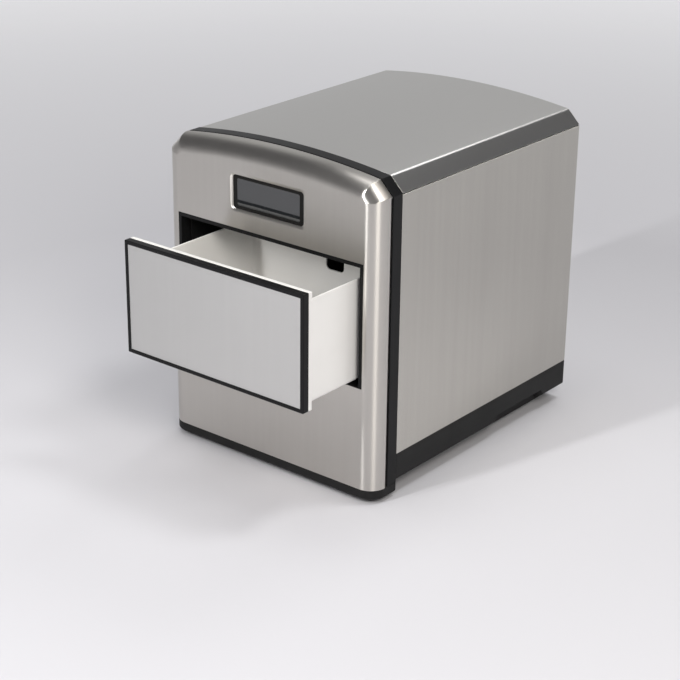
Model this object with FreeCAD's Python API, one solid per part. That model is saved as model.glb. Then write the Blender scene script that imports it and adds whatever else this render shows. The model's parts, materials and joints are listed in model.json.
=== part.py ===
import FreeCAD, Part
import math
import os

# Countertop ice maker with a pull-out ice drawer.  Millimetres, +Z up, +X to the
# machine's right as seen from the front, +Y to the rear.  Every size below is measured
# back from the front face, which lies in the plane y = 0 while the pieces are shaped.
# Each finished piece is then moved so that the origin is on the floor, under the middle
# of the body's footprint.

V = FreeCAD.Vector

# ---------------------------------------------------------------- casing
BODY_WIDTH = 360.0            # over the two side panels
FOOT_HEIGHT = 5.0             # floor to underside of the base
CORNER_CUT = 19.3             # run and rise of the corner chamfer
CROWN_RISE = 11.0             # rise of the arched top over the chamfers
SKIN = 1.0                    # steel of the covers
FRONT_SKIN = 1.2              # steel of the front panel
SHADOW_GAP = 0.8              # visible joint between side panel and top cover
SHEET_FOLD = 12.0             # width of the folded edges of the side panels

# ---------------------------------------------------------------- front panel, bottom to top
KICK_HEIGHT = 15.0            # black strip under the front panel
APRON_HEIGHT = 142.4          # steel below the drawer opening
OPENING_HEIGHT = 168.5
HEAD_HEIGHT = 85.7            # opening to the lower crease of the corner chamfer
OPENING_SIDE = 22.8           # steel beside the drawer opening
FRONT_ROUND = 24.0            # radius that rolls the front into sides and top
FRONT_DEPTH = 26.5            # how far the front panel reaches back
TRIM_WIDTH = 21.0             # black band between front panel and covers
TRIM_WALL = 4.0
TRIM_REBATE = 2.2             # depth and width of the groove beside the front panel
KICK_WALL = 2.5
KICK_CHAMFER = 3.5

# ---------------------------------------------------------------- window
WINDOW_RAISE = 49.4           # drawer opening to the middle of the window
WINDOW_WIDTH = 128.8
WINDOW_HEIGHT = 55.6
WINDOW_CORNER = 9.5
WINDOW_RECESS = 2.2           # glass lies this far behind the front face
WINDOW_EDGE = 0.6             # straight edge of the pressed rim in front of the glass
WINDOW_BEVEL = 5.0            # how far the pressed rim closes in
GLASS = 2.0
GLASS_LAP = 1.0               # glass hidden behind the pressed rim
BEZEL_RIM = 4.0               # holder around the glass
BEZEL_DEPTH = 8.0
BOARD_WIDTH = 104.0
BOARD_HEIGHT = 34.0
BOARD = 1.6                   # thickness of a circuit board
BOARD_GAP = 3.0               # glass to the face of the board
BOARD_CLEAR = 0.3
DIGITS_WIDTH = 30.0
DIGITS_HEIGHT = 15.0
DIGITS_DEPTH = 2.0
PLUG_SIZE = 12.0
PLUG_DEPTH = 6.0

# ---------------------------------------------------------------- drawer opening frame
FRAME_LIP = 5.3               # width of the black rim at the sides and the top
FRAME_SILL = 1.2              # width of the black rim at the bottom
FRAME_FLANGE = 8.0
FRAME_FLANGE_THICKNESS = 2.0
FRAME_GAP = 0.3               # frame to the front edge of the compartment

# ---------------------------------------------------------------- drawer
DRAWER_CLEAR = 0.6            # gap around the closed drawer front
DRAWER_OUT = 107.0            # how far the drawer stands open at rest
STOP_GAP = 0.5                # closed drawer front to the compartment's edge
FINGER_GAP = 4.4              # gap over the drawer front
FRONT_FRAME_DEPTH = 10.0
FRONT_FRAME_RIM = 5.4
FRONT_FRAME_WEB = 2.0
FRONT_FRAME_ROUND = 0.8
FRONT_CORNER = 1.5
FRONT_PLATE = 1.5
PLATE_RECESS = 0.6
BACKING = 6.5                 # white panel behind the drawer front
BACKING_WALL = 2.5
BIN_LEFT_INSET = 39.8         # drawer front's left edge to the bin
BIN_RIGHT_INSET = 7.8         # drawer front's right edge to the bin
BIN_DEPTH = 192.0
BIN_HEIGHT = 139.0
BIN_WALL = 2.5
BIN_RAISE = 4.0               # bin floor over the drawer front's lower edge
BIN_CORNER = 10.0
NOTCH_CENTRE = 32.0           # notch for the ice level arm in the bin's back wall
NOTCH_WIDTH = 30.0
NOTCH_DEPTH = 43.0
NOTCH_CORNER = 6.0
DRAIN_HOLE = 2.5              # radius of the melt water holes in the bin floor
DRAIN_COLUMNS = 5
DRAIN_ROWS = 3

# ---------------------------------------------------------------- drawer compartment
LINER_WALL = 2.5
LINER_STEP = 2.4              # compartment inside the frame's clear width, each side
REAR_SPACE = 27.0             # closed bin to the back wall of the compartment
RAIL_WIDTH = 8.0
RAIL_INSET = 22.0
SLIDE_CLEAR = 0.3             # bin floor over the rails
THROAT_SIDE = 18.0            # compartment's side wall to the hole the ice falls through
THROAT_LEAD = 8.0             # the same hole in front of the water tray
SUMP_SLOT = 24.0              # slot in the compartment floor that returns the water
SUMP_SIDE = 10.0              # end of that slot inside the tank
FOAM_SIDE = 20.0
FOAM_FLOOR = 12.0
FOAM_REAR = 8.0               # floor slab to the slot

# ---------------------------------------------------------------- base
BASE_WALL = 3.0
SKIRT_HEIGHT = 56.0
SKIRT_BEND = 20.0             # height over the underside where the skirt draws in
SKIRT_DRAW = 23.0             # how far the underside is drawn in
GRIP_REAR = 60.0              # rear edge of the body to the hand grip
GRIP_LENGTH = 110.0
GRIP_HEIGHT = 28.0
GRIP_DEPTH = 20.0
GRIP_RAMP = 22.0
INTAKE_SLOT = 5.0             # air intake slots in the base floor
INTAKE_PITCH = 11.0
INTAKE_LENGTH = 56.0
INTAKE_COUNT = 11
INTAKE_LEAD = 20.0            # bulkhead to the slots
FOOT_RADIUS = 13.0
FOOT_TAPER = 2.0
FOOT_SIDE = 55.0              # body side to the middle of a foot
FOOT_FRONT = 32.5             # trim band to the middle of a front foot
FOOT_REAR = 31.0              # rear edge to the middle of a rear foot
FOOT_SPIGOT = 4.0

# ---------------------------------------------------------------- water
TANK_SIDE = 40.0              # body side to the tank
TANK_LEAD = 14.5              # trim band to the tank
TANK_TAIL = 6.0               # tank to the bulkhead
TANK_LIFT = 22.0              # tank over the base floor
TANK_WALL = 2.5
TANK_CORNER = 3.0
TANK_LEG_RADIUS = 6.0
TANK_LEG_SIDE = 42.0
TANK_LEG_END = 20.0
PUMP_RADIUS = 19.0
PUMP_FOOT = 4.0
PUMP_HEIGHT = 34.0
PUMP_SIDE = 40.0              # tank side to the pump's axis
PUMP_TAIL = 31.0              # tank rear to the pump's axis
HOSE_RADIUS = 4.0
HOSE_BORE = 2.8
HOSE_SIDE = 20.0              # tank side to the rising hose
HOSE_TAIL = 7.5               # compartment's back wall to the hose's axis
HOSE_BEND = 9.0
HOSE_TURN = 12.0              # hose's slanting run below the tank's rim
HOSE_END_GAP = 2.0            # hose's end over the tray's rim
BARB_LENGTH = 10.0
STEM_RADIUS = 3.0
STEM_HEIGHT = 70.0
STEM_STOP = 3.0
STEM_STOP_RADIUS = 6.0
FLOAT_RADIUS = 11.0
FLOAT_HEIGHT = 14.0
FLOAT_ROUND = 2.0
FLOAT_CLEAR = 0.3
FLOAT_SIDE = 45.0
FLOAT_LEAD = 88.0
DRAIN_SIDE = 20.0             # tank side to the drain's axis
DRAIN_LIFT = 40.0             # drain's axis over the underside of the base
DRAIN_BORE = 3.5
DRAIN_SPIGOT = 4.5
DRAIN_HOSE = 6.5
DRAIN_STUB = 8.0
DRAIN_RADIUS = 9.0
DRAIN_FLANGE = 4.0
DRAIN_FLANGE_THICKNESS = 2.0
DRAIN_BARREL = 21.0
DRAIN_FIT = 0.1
CAP_RADIUS = 15.0
CAP_DEPTH = 10.0
CAP_GAP = 0.3
CAP_PLUG = 8.0
CAP_GRIP = 5.0
CAP_FLUTES = 12
CAP_FLUTE = 2.5

# ---------------------------------------------------------------- ice making
TRAY_HALF = 84.0              # half length of the tilting water tray
TRAY_WIDTH = 52.0
TRAY_DEPTH = 26.0
TRAY_WALL = 2.0
TRAY_ROUND = 8.0
TRAY_HINGE = 6.0              # tray's rear face to its axis
SWING_CLEAR = 4.0             # hanging tray to the bulkhead
TRAY_RAISE = 8.3              # swinging tray over the compartment
SHAFT_RADIUS = 3.0
SHAFT_CLEAR = 0.05
LUG_RADIUS = 7.0
LUG_WEB = 22.0
LUG_THICKNESS = 3.0
TRAY_END_GAP = 3.0
FINGER_COUNT = 6
FINGER_PITCH = 25.0
FINGER_ROWS = 2
FINGER_ROW_PITCH = 24.0
FINGER_RADIUS = 5.0
FINGER_DIP = 20.0             # fingers below the tray's rim
PLATE_LIFT = 6.0              # evaporator plate over the tray's rim
PLATE_THICKNESS = 4.0
PLATE_MARGIN = 10.0
PLATE_CORNER = 6.0
EVAPORATOR_TUBE = 4.0
EVAPORATOR_ENDS = 18.0        # tube ends beside the centre line
TUBE_PAST = 12.0              # tube ends behind the bulkhead
HOOD_WALL = 2.5
HOOD_MARGIN = 10.0
HOOD_AIR = 1.0                # evaporator tube to the hood's roof
HOOD_POST = 3.5
BOSS_LENGTH = 4.0
BOSS_RADIUS = 8.0
MOTOR_RADIUS = 22.0
MOTOR_LENGTH = 26.0
MOTOR_OFFSET = 8.0            # motor's axis behind its output shaft
MOTOR_EAR = 32.0
MOTOR_EAR_WIDTH = 8.0
MOTOR_EAR_THICKNESS = 2.0
MOTOR_EAR_ROUND = 6.4
MOTOR_SHAFT_DEPTH = 6.0
CHUTE_RISE = 21.0
CHUTE_LAP = 0.5               # chute's lip past the bin's back wall
CHUTE_LIFT = 1.8              # chute's lip over the bin's rim
CHUTE_THICKNESS = 2.0
CHUTE_TAB = 16.0
CHUTE_SLOT = 4.0
CHUTE_SLOT_PITCH = 12.0
CHUTE_SIDE_GAP = 4.0
HOOD_LIFT = 2.0               # hood's side walls over the chute
ARM_SETBACK = 10.5            # arm's axis to the compartment's back wall
ARM_DROP = 31.6               # arm's axis below the compartment's ceiling
ARM_LENGTH = 44.0
ARM_WIDTH = 12.0
ARM_THICKNESS = 4.0
ARM_PADDLE = 14.0
ARM_PADDLE_THICKNESS = 3.0
ARM_DROOP = 10.0              # degrees below level at rest
ARM_PIN_RADIUS = 2.0
ARM_HUB_WALL = 2.5
ARM_CHEEK = 3.0
ARM_CHEEK_GAP = 0.5
ARM_PLATE = 3.0

# ---------------------------------------------------------------- machine room
BULKHEAD_GAP = 4.0            # compartment's back wall to the bulkhead
BULKHEAD = 1.5
BULKHEAD_CLEAR = 0.5
MACHINE_ROOM = 209.0          # bulkhead's front face to the rear edge of the covers
COMPRESSOR_SIDE = 30.0        # body side to the compressor's shell
COMPRESSOR_TAIL = 48.0        # rear edge to the compressor's shell
COMPRESSOR_RADIUS = 58.0
COMPRESSOR_HEIGHT = 156.0
COMPRESSOR_WALL = 3.0
COMPRESSOR_DOME = 26.0
COMPRESSOR_SEAM = 2.5
COMPRESSOR_CORE = 36.0
COMPRESSOR_CORE_HEIGHT = 84.0
MOUNT_SPAN = 47.0
MOUNT_PLATE = 3.0
MOUNT_MARGIN = 12.0
BOSS_HEIGHT = 6.0
GROMMET_RADIUS = 9.0
GROMMET_NECK = 6.0
GROMMET_HEIGHT = 13.0
GROMMET_CAP = 3.0
GROMMET_CAP_RADIUS = 8.0
NUT_RADIUS = 5.0
NUT_HEIGHT = 4.0
NUT_SIDES = 6
WASHER_RADIUS = 6.5
WASHER = 1.0
STUD_RADIUS = 2.5
STUB_LENGTH = 12.0
STUB_SEAT = 4.0
STUB_WALL = 1.0
SUCTION_ANGLE = 150.0
SUCTION_LIFT = 40.0
DISCHARGE_ANGLE = 100.0
DISCHARGE_LIFT = 20.0
CHARGE_ANGLE = 60.0
CHARGE_LIFT = 60.0
TERMINAL_LIFT = 52.0
TERMINAL_WIDTH = 48.0
TERMINAL_HEIGHT = 44.0
TERMINAL_DEPTH = 22.0
TERMINAL_GAP = 0.2
CONDENSER_SIDE = 18.0         # body side to the condenser
CONDENSER_WIDTH = 174.0
CONDENSER_TAIL = 13.0         # rear edge to the condenser
CONDENSER_DEPTH = 34.0
CONDENSER_LIFT = 54.0         # condenser over the base floor
CONDENSER_HEIGHT = 174.0
CONDENSER_TUBE = 4.0
CONDENSER_PASSES = 7
CONDENSER_BEND = 10.0
CONDENSER_EDGE = 12.0         # first and last tube inside the fins
FIN_PITCH = 6.0
FIN = 0.5
FIN_END = 1.5
FIN_INSET = 14.0
FIN_CLEAR = 0.05
SHROUD = 2.5
SHROUD_GAP = 1.0
SHROUD_COLLAR = 16.0
SHROUD_LEG = 12.0
FAN_RADIUS = 66.0
FAN_TIP_GAP = 4.0
FAN_INSET = 1.0               # fan's front behind the collar's mouth
FAN_HUB = 17.0
FAN_BLADES = 5
FAN_DEPTH = 14.0
FAN_CHORD = 40.0
FAN_BLADE = 1.6
FAN_PITCH = 20.0
FAN_MOTOR_RADIUS = 22.0
FAN_MOTOR_LENGTH = 34.0
FAN_MOTOR_NOSE = 8.0
FAN_MOTOR_GAP = 3.0           # motor's nose to the fan's hub
FAN_SHAFT = 2.5
BRACKET_WALL = 2.0
BRACKET_WIDTH = 32.0
BRACKET_DEPTH = 16.0
BRACKET_FOOT = 10.0
DRIER_RADIUS = 9.0
DRIER_LENGTH = 66.0
DRIER_TAPER = 10.0
DRIER_SIDE = 22.0             # condenser to the drier's axis
DRIER_DROP = 30.0
DRIER_LEAD = 8.0
LINE_RADIUS = 3.2
HOT_GAS_RADIUS = 2.4
CAPILLARY_RADIUS = 1.2
LINE_BEND = 8.0
LINE_OFFSET = 10.0             # step of the grid that the machine room's tubes turn on
DISCHARGE_RISE = 22.0         # discharge line over the condenser
TEE_DROP = 28.0
VALVE_BODY = 18.0
VALVE_COIL_RADIUS = 9.0
VALVE_COIL_HEIGHT = 26.0
VALVE_RISE = 114.0            # valve over the compressor
BOX_WIDTH = 34.0
BOX_DEPTH = 120.0
BOX_HEIGHT = 96.0
BOX_WALL = 2.0
BOX_RISE = 26.0               # electrics box over the condenser
BOX_TAIL = 41.0
BOARD_STAND = 4.0
POST_RADIUS = 2.5
POST_INSET = 12.0
PARTS_EDGE = 18.0             # box's front and floor to the first parts on the board
COIL_WIDTH = 30.0
COIL_HEIGHT = 29.0
COIL_DEPTH = 22.0
RELAY_COUNT = 3
RELAY_START = 60.0
RELAY_PITCH = 18.0
RELAY_WIDTH = 12.0
RELAY_HEIGHT = 18.0
RELAY_DEPTH = 14.0
CAN_RADIUS = 5.0
CAN_LENGTH = 18.0
CAN_LIFT = 42.0               # middle of the capacitors over the relays' lower edge
INLET_SIDE = 40.0
INLET_RISE = 34.0             # middle of the power inlet over the condenser
INLET_WIDTH = 30.0
INLET_HEIGHT = 24.0
INLET_DEPTH = 22.0
INLET_FLANGE = 6.0
INLET_FLANGE_THICKNESS = 2.0
INLET_WALL = 3.0
INLET_WELL = 15.0
CONTACT = 2.0
CONTACT_HEIGHT = 5.0
CONTACT_SPREAD = 7.0
VENT_SLOT = 5.0
SLOT_END = 0.497              # share of a slot's width that rounds its ends
VENT_PITCH = 10.0
VENT_COLUMNS = 2
SCREW_HEAD = 4.0
SCREW_HEAD_HEIGHT = 2.0
SCREW_HEAD_ROUND = 1.2
SCREW_SHANK = 1.8
SCREW_FIT = 0.1
SCREW_LENGTH = 9.0
SCREW_CROSS = 1.0
SCREW_INSET = 7.0
SCREW_END = 20.0

# ---------------------------------------------------------------- derived values
HALF = BODY_WIDTH / 2
KICK_TOP = FOOT_HEIGHT + KICK_HEIGHT
OPENING_BOTTOM = KICK_TOP + APRON_HEIGHT
OPENING_TOP = OPENING_BOTTOM + OPENING_HEIGHT
SHOULDER_HEIGHT = OPENING_TOP + HEAD_HEIGHT
TRIM_BACK = FRONT_DEPTH + TRIM_WIDTH
CROWN_HALF = HALF - CORNER_CUT
EAVES = SHOULDER_HEIGHT + CORNER_CUT
CROWN_RADIUS = (CROWN_HALF ** 2 + CROWN_RISE ** 2) / (2 * CROWN_RISE)
CROWN_CENTRE_Z = EAVES + CROWN_RISE - CROWN_RADIUS
WINDOW_Z = OPENING_TOP + WINDOW_RAISE
OPENING_HALF = HALF - OPENING_SIDE
CLEAR_HALF = OPENING_HALF - FRAME_LIP
DRAWER_HALF = CLEAR_HALF - DRAWER_CLEAR
DRAWER_BOTTOM = OPENING_BOTTOM + FRAME_SILL + DRAWER_CLEAR
DRAWER_TOP = OPENING_TOP - FRAME_LIP - FINGER_GAP
DRAWER_FACE = -DRAWER_OUT
DRAWER_BACK = FRONT_FRAME_DEPTH + BACKING
BIN_LEFT = -DRAWER_HALF + BIN_LEFT_INSET
BIN_RIGHT = DRAWER_HALF - BIN_RIGHT_INSET
BIN_FLOOR = DRAWER_BOTTOM + BIN_RAISE
BIN_RIM = BIN_FLOOR + BIN_HEIGHT
BIN_BACK = DRAWER_BACK + BIN_DEPTH
LINER_HALF = CLEAR_HALF - LINER_STEP
LINER_FLOOR = OPENING_BOTTOM + FRAME_SILL
LINER_FRONT = DRAWER_BACK + STOP_GAP
LINER_CEILING = OPENING_TOP - FRAME_LIP
LINER_INNER_BACK = BIN_BACK + REAR_SPACE
LINER_BACK = LINER_INNER_BACK + LINER_WALL
LINER_TOP = LINER_CEILING + LINER_WALL
LINER_UNDER = LINER_FLOOR - LINER_WALL
FRAME_DEPTH = LINER_FRONT - FRAME_GAP
BULKHEAD_Y = LINER_BACK + BULKHEAD_GAP
BULKHEAD_BACK = BULKHEAD_Y + BULKHEAD
BODY_DEPTH = BULKHEAD_Y + MACHINE_ROOM
REAR_FACE = BODY_DEPTH - SKIN
PANEL_FACE = REAR_FACE - SKIN
BASE_FLOOR = FOOT_HEIGHT + BASE_WALL
SKIRT_TOP = FOOT_HEIGHT + SKIRT_HEIGHT
GRIP_BACK = BODY_DEPTH - GRIP_REAR
GRIP_FRONT = GRIP_BACK - GRIP_LENGTH
GRIP_TOP = FOOT_HEIGHT + GRIP_HEIGHT
TANK_HALF = HALF - TANK_SIDE
TANK_FRONT = TRIM_BACK + TANK_LEAD
TANK_BACK = BULKHEAD_Y - TANK_TAIL
TANK_BOTTOM = BASE_FLOOR + TANK_LIFT
TANK_FLOOR = TANK_BOTTOM + TANK_WALL
TANK_TOP = LINER_UNDER - FOAM_FLOOR
PUMP_X = TANK_HALF - PUMP_SIDE
PUMP_Y = TANK_BACK - PUMP_TAIL
PUMP_TOP = TANK_FLOOR + PUMP_HEIGHT
HOSE_X = TANK_HALF - HOSE_SIDE
HOSE_Y = LINER_INNER_BACK - HOSE_TAIL
FLOAT_X = -TANK_HALF + FLOAT_SIDE
FLOAT_Y = TANK_FRONT + FLOAT_LEAD
FLOAT_Z = TANK_FLOOR + STEM_STOP + FLOAT_CLEAR
DRAIN_X = -TANK_HALF + DRAIN_SIDE
DRAIN_Z = FOOT_HEIGHT + DRAIN_LIFT
DRAIN_END = BODY_DEPTH - BASE_WALL - DRAIN_BARREL
TRAY_REACH = TRAY_WIDTH + TRAY_HINGE
PIVOT_Y = BULKHEAD_Y - TRAY_DEPTH - SWING_CLEAR
PIVOT_Z = LINER_TOP + math.hypot(TRAY_REACH, TRAY_DEPTH) + TRAY_RAISE
TRAY_FRONT = PIVOT_Y - TRAY_REACH
TRAY_REAR = PIVOT_Y - TRAY_HINGE
TRAY_BOTTOM = PIVOT_Z - TRAY_DEPTH
TRAY_MID_Y = TRAY_FRONT + TRAY_WIDTH / 2
FINGER_TIP = PIVOT_Z - FINGER_DIP
PLATE_Z = PIVOT_Z + PLATE_LIFT
PLATE_HALF = (FINGER_COUNT - 1) / 2 * FINGER_PITCH + PLATE_MARGIN
PLATE_DEEP = (FINGER_ROWS - 1) / 2 * FINGER_ROW_PITCH + PLATE_MARGIN
TUBE_Z = PLATE_Z + PLATE_THICKNESS + EVAPORATOR_TUBE
TUBE_END = BULKHEAD_Y + TUBE_PAST
HOOD_HALF = TRAY_HALF + TRAY_END_GAP
HOOD_OUTER = HOOD_HALF + HOOD_WALL
HOOD_FRONT = TRAY_FRONT - HOOD_MARGIN
HOOD_ROOF = TUBE_Z + EVAPORATOR_TUBE + HOOD_AIR
BOSS_FACE = HOOD_OUTER + BOSS_LENGTH
CHUTE_LOW_Y = BIN_BACK - BIN_WALL - CHUTE_LAP
CHUTE_LOW_Z = BIN_RIM + CHUTE_LIFT
CHUTE_HIGH_Z = CHUTE_LOW_Z + CHUTE_RISE
CHUTE_HALF = HOSE_X - HOSE_RADIUS - CHUTE_SIDE_GAP
ARM_Y = LINER_INNER_BACK - ARM_SETBACK
ARM_Z = LINER_CEILING - ARM_DROP
COMPRESSOR_X = HALF - COMPRESSOR_SIDE - COMPRESSOR_RADIUS
COMPRESSOR_Y = BODY_DEPTH - COMPRESSOR_TAIL - COMPRESSOR_RADIUS
BOSS_TOP = BASE_FLOOR + BOSS_HEIGHT
COMPRESSOR_BOTTOM = BOSS_TOP + GROMMET_HEIGHT + MOUNT_PLATE
COMPRESSOR_TOP = COMPRESSOR_BOTTOM + COMPRESSOR_HEIGHT
SEAM_Z = (COMPRESSOR_TOP - COMPRESSOR_DOME + COMPRESSOR_BOTTOM + COMPRESSOR_DOME / 2) / 2
CONDENSER_LEFT = -HALF + CONDENSER_SIDE
CONDENSER_RIGHT = CONDENSER_LEFT + CONDENSER_WIDTH
CONDENSER_BACK = BODY_DEPTH - CONDENSER_TAIL
CONDENSER_FRONT = CONDENSER_BACK - CONDENSER_DEPTH
CONDENSER_Y = (CONDENSER_FRONT + CONDENSER_BACK) / 2
CONDENSER_BOTTOM = BASE_FLOOR + CONDENSER_LIFT
CONDENSER_TOP = CONDENSER_BOTTOM + CONDENSER_HEIGHT
FAN_X = (CONDENSER_LEFT + CONDENSER_RIGHT) / 2
FAN_Z = (CONDENSER_BOTTOM + CONDENSER_TOP) / 2
SHROUD_Y = CONDENSER_FRONT - SHROUD_GAP - SHROUD
FAN_Y = SHROUD_Y - SHROUD_COLLAR + FAN_INSET
FAN_NOSE = FAN_Y - FAN_MOTOR_GAP
DRIER_X = CONDENSER_RIGHT + DRIER_SIDE
DRIER_Y = CONDENSER_FRONT + DRIER_LEAD
DRIER_TOP = CONDENSER_TOP - DRIER_DROP
DRIER_BOTTOM = DRIER_TOP - DRIER_LENGTH
VALVE_X = COMPRESSOR_X
VALVE_Y = BULKHEAD_BACK + VALVE_BODY / 2
VALVE_Z = COMPRESSOR_TOP + VALVE_RISE
BOX_BOTTOM = CONDENSER_TOP + BOX_RISE
BOX_BACK = BODY_DEPTH - BOX_TAIL
INLET_X = -HALF + INLET_SIDE
INLET_Z = CONDENSER_TOP + INLET_RISE
FAR = 2 * (BODY_WIDTH + SHOULDER_HEIGHT)
THROUGH = 1.0                 # overrun of a cut past the face it goes through
NEAR = 0.01                   # tolerance for picking the edges of a face


def save(name, shape):
    """Moves one sub-part to the footprint's middle and writes it to its own file."""
    shape.translate(V(0, -BODY_DEPTH / 2, 0))
    shape.exportStep("parts/" + name + ".step")


def box(x0, x1, y0, y1, z0, z1):
    """A block between two opposite corners, given in any order along X."""
    return Part.makeBox(abs(x1 - x0), y1 - y0, z1 - z0, V(min(x0, x1), y0, z0))


def rod(start, direction, radius, length):
    """A round bar from a point along a direction."""
    return Part.makeCylinder(radius, length, V(*start), V(*direction))


def fused(shapes):
    """One solid out of touching ones."""
    return shapes[0].fuse(shapes[1:]).removeSplitter()


def group(shapes):
    """Separate solids that share one node."""
    return Part.makeCompound(shapes)


def upright_edges(block):
    """The straight edges of a block that run along Z."""
    return [e for e in block.Edges if e.BoundBox.ZLength > max(e.BoundBox.XLength, e.BoundBox.YLength)]


def rounded_rectangle(width, height, radius, centre_x, centre_z, y):
    """A wire in a plane of constant y, a rectangle with round corners."""
    w = width / 2
    h = height / 2
    cut = radius * (1 - math.sqrt(0.5))
    corners = [(1, 1), (-1, 1), (-1, -1), (1, -1)]
    arcs = []
    for sx, sz in corners:
        side = V(centre_x + sx * w, y, centre_z + sz * (h - radius))
        middle = V(centre_x + sx * (w - cut), y, centre_z + sz * (h - cut))
        end = V(centre_x + sx * (w - radius), y, centre_z + sz * h)
        if sx * sz < 0:
            side, end = end, side
        arcs.append((side, middle, end))
    edges = []
    for i, (start, middle, end) in enumerate(arcs):
        following = arcs[(i + 1) % len(arcs)][0]
        edges.append(Part.Arc(start, middle, end).toShape())
        edges.append(Part.LineSegment(end, following).toShape())
    return Part.Wire(edges)


def rounded_block(width, height, radius, centre_x, centre_z, y0, y1):
    """A block along Y with round long edges."""
    face = Part.Face(rounded_rectangle(width, height, radius, centre_x, centre_z, y0))
    return face.extrude(V(0, y1 - y0, 0))


def upright_block(x0, x1, y0, y1, z0, z1, radius):
    """A block with its four upright edges rounded."""
    block = box(x0, x1, y0, y1, z0, z1)
    return block.makeFillet(radius, upright_edges(block))


def pipe(points, radius, bend):
    """A round tube along straight runs joined by bends."""
    corners = [V(*p) for p in points]
    edges = []
    here = corners[0]
    for i in range(1, len(corners) - 1):
        before = (corners[i] - corners[i - 1]).normalize()
        after = (corners[i + 1] - corners[i]).normalize()
        turn = before.getAngle(after)
        back = bend * math.tan(turn / 2)
        enter = corners[i] - before * back
        leave = corners[i] + after * back
        inward = (after - before).normalize()
        middle = corners[i] + inward * (bend / math.cos(turn / 2) - bend)
        edges.append(Part.LineSegment(here, enter).toShape())
        edges.append(Part.Arc(enter, middle, leave).toShape())
        here = leave
    edges.append(Part.LineSegment(here, corners[-1]).toShape())
    start = (corners[1] - corners[0]).normalize()
    profile = Part.Wire([Part.Circle(corners[0], start, radius).toShape()])
    return Part.Wire(edges).makePipeShell([profile], True, False)


# ---------------------------------------------------------------- casing shapes

def outline(inset, y, z_bottom):
    """The body's cross-section, drawn in by an inset, as a face at y."""
    half = HALF - inset
    radius = CROWN_RADIUS - inset
    reach = HALF + SHOULDER_HEIGHT - inset * math.sqrt(2)
    drop = reach - CROWN_CENTRE_Z
    up_x = (drop - math.sqrt(2 * radius ** 2 - drop ** 2)) / 2
    up_z = reach - up_x
    crown = Part.Arc(V(up_x, y, up_z), V(0, y, CROWN_CENTRE_Z + radius), V(-up_x, y, up_z))
    walls = [V(-up_x, y, up_z), V(-half, y, reach - half), V(-half, y, z_bottom)]
    walls += [V(half, y, z_bottom), V(half, y, reach - half), V(up_x, y, up_z)]
    edges = [crown.toShape()]
    for a, b in zip(walls[:-1], walls[1:]):
        edges.append(Part.LineSegment(a, b).toShape())
    return Part.Face(Part.Wire(edges))


def body_block(inset, y0, y1, z_bottom):
    """The body's cross-section run from y0 to y1."""
    return outline(inset, y0, z_bottom).extrude(V(0, y1 - y0, 0))


def pillow(inset, y_back, z_bottom):
    """The front panel's outer form, rolled at its sides and top, drawn in by an inset."""
    form = body_block(inset, inset, y_back, z_bottom)
    face = [e for e in form.Edges if e.BoundBox.YMax < inset + NEAR]
    rolled = [e for e in face if e.BoundBox.ZMax > z_bottom + NEAR]
    return form.makeFillet(FRONT_ROUND - inset, rolled)


def opening_block(margin, y0, y1):
    """The drawer opening, made larger all round by a margin."""
    half = OPENING_HALF + margin
    return box(-half, half, y0, y1, OPENING_BOTTOM - margin, OPENING_TOP + margin)


def front_panel():
    """Steel front, rolled at the sides and the top, with a pressed window rim."""
    skin = pillow(0, FRONT_DEPTH, KICK_TOP)
    skin = skin.cut(pillow(FRONT_SKIN, FRONT_DEPTH + THROUGH, KICK_TOP - THROUGH))
    rim = rounded_block(WINDOW_WIDTH + 2 * FRONT_SKIN, WINDOW_HEIGHT + 2 * FRONT_SKIN,
                        WINDOW_CORNER + FRONT_SKIN, 0, WINDOW_Z, FRONT_SKIN / 2, WINDOW_RECESS)
    width = WINDOW_WIDTH - 2 * WINDOW_BEVEL
    height = WINDOW_HEIGHT - 2 * WINDOW_BEVEL
    corner = WINDOW_CORNER - WINDOW_BEVEL
    edge = WINDOW_RECESS - WINDOW_EDGE
    mouth = rounded_rectangle(WINDOW_WIDTH, WINDOW_HEIGHT, WINDOW_CORNER, 0, WINDOW_Z, 0)
    throat = rounded_rectangle(width, height, corner, 0, WINDOW_Z, edge)
    bevel = Part.makeLoft([mouth, throat], True, True)
    clear = rounded_block(width, height, corner, 0, WINDOW_Z, edge - THROUGH, WINDOW_RECESS + THROUGH)
    return skin.fuse(rim).cut([bevel, clear, opening_block(0, -THROUGH, FRONT_DEPTH)]).removeSplitter()


def trim_strip():
    """Black band that follows the body's outline between front panel and covers."""
    outer = body_block(0, FRONT_DEPTH + TRIM_REBATE, TRIM_BACK, KICK_TOP)
    rebate = body_block(TRIM_REBATE, FRONT_DEPTH, FRONT_DEPTH + TRIM_REBATE, KICK_TOP)
    hollow = body_block(TRIM_WALL, FRONT_DEPTH - THROUGH, TRIM_BACK + THROUGH, KICK_TOP - THROUGH)
    return fused([outer, rebate]).cut(hollow)


def top_cover():
    """Arched steel cover with both corner chamfers, run straight to the rear."""
    sheet = body_block(0, TRIM_BACK, BODY_DEPTH, SKIRT_TOP)
    sheet = sheet.cut(body_block(SKIN, TRIM_BACK - THROUGH, BODY_DEPTH + THROUGH, SKIRT_TOP - THROUGH))
    return sheet.common(box(-HALF, HALF, TRIM_BACK, BODY_DEPTH, SHOULDER_HEIGHT, FAR))


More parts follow.
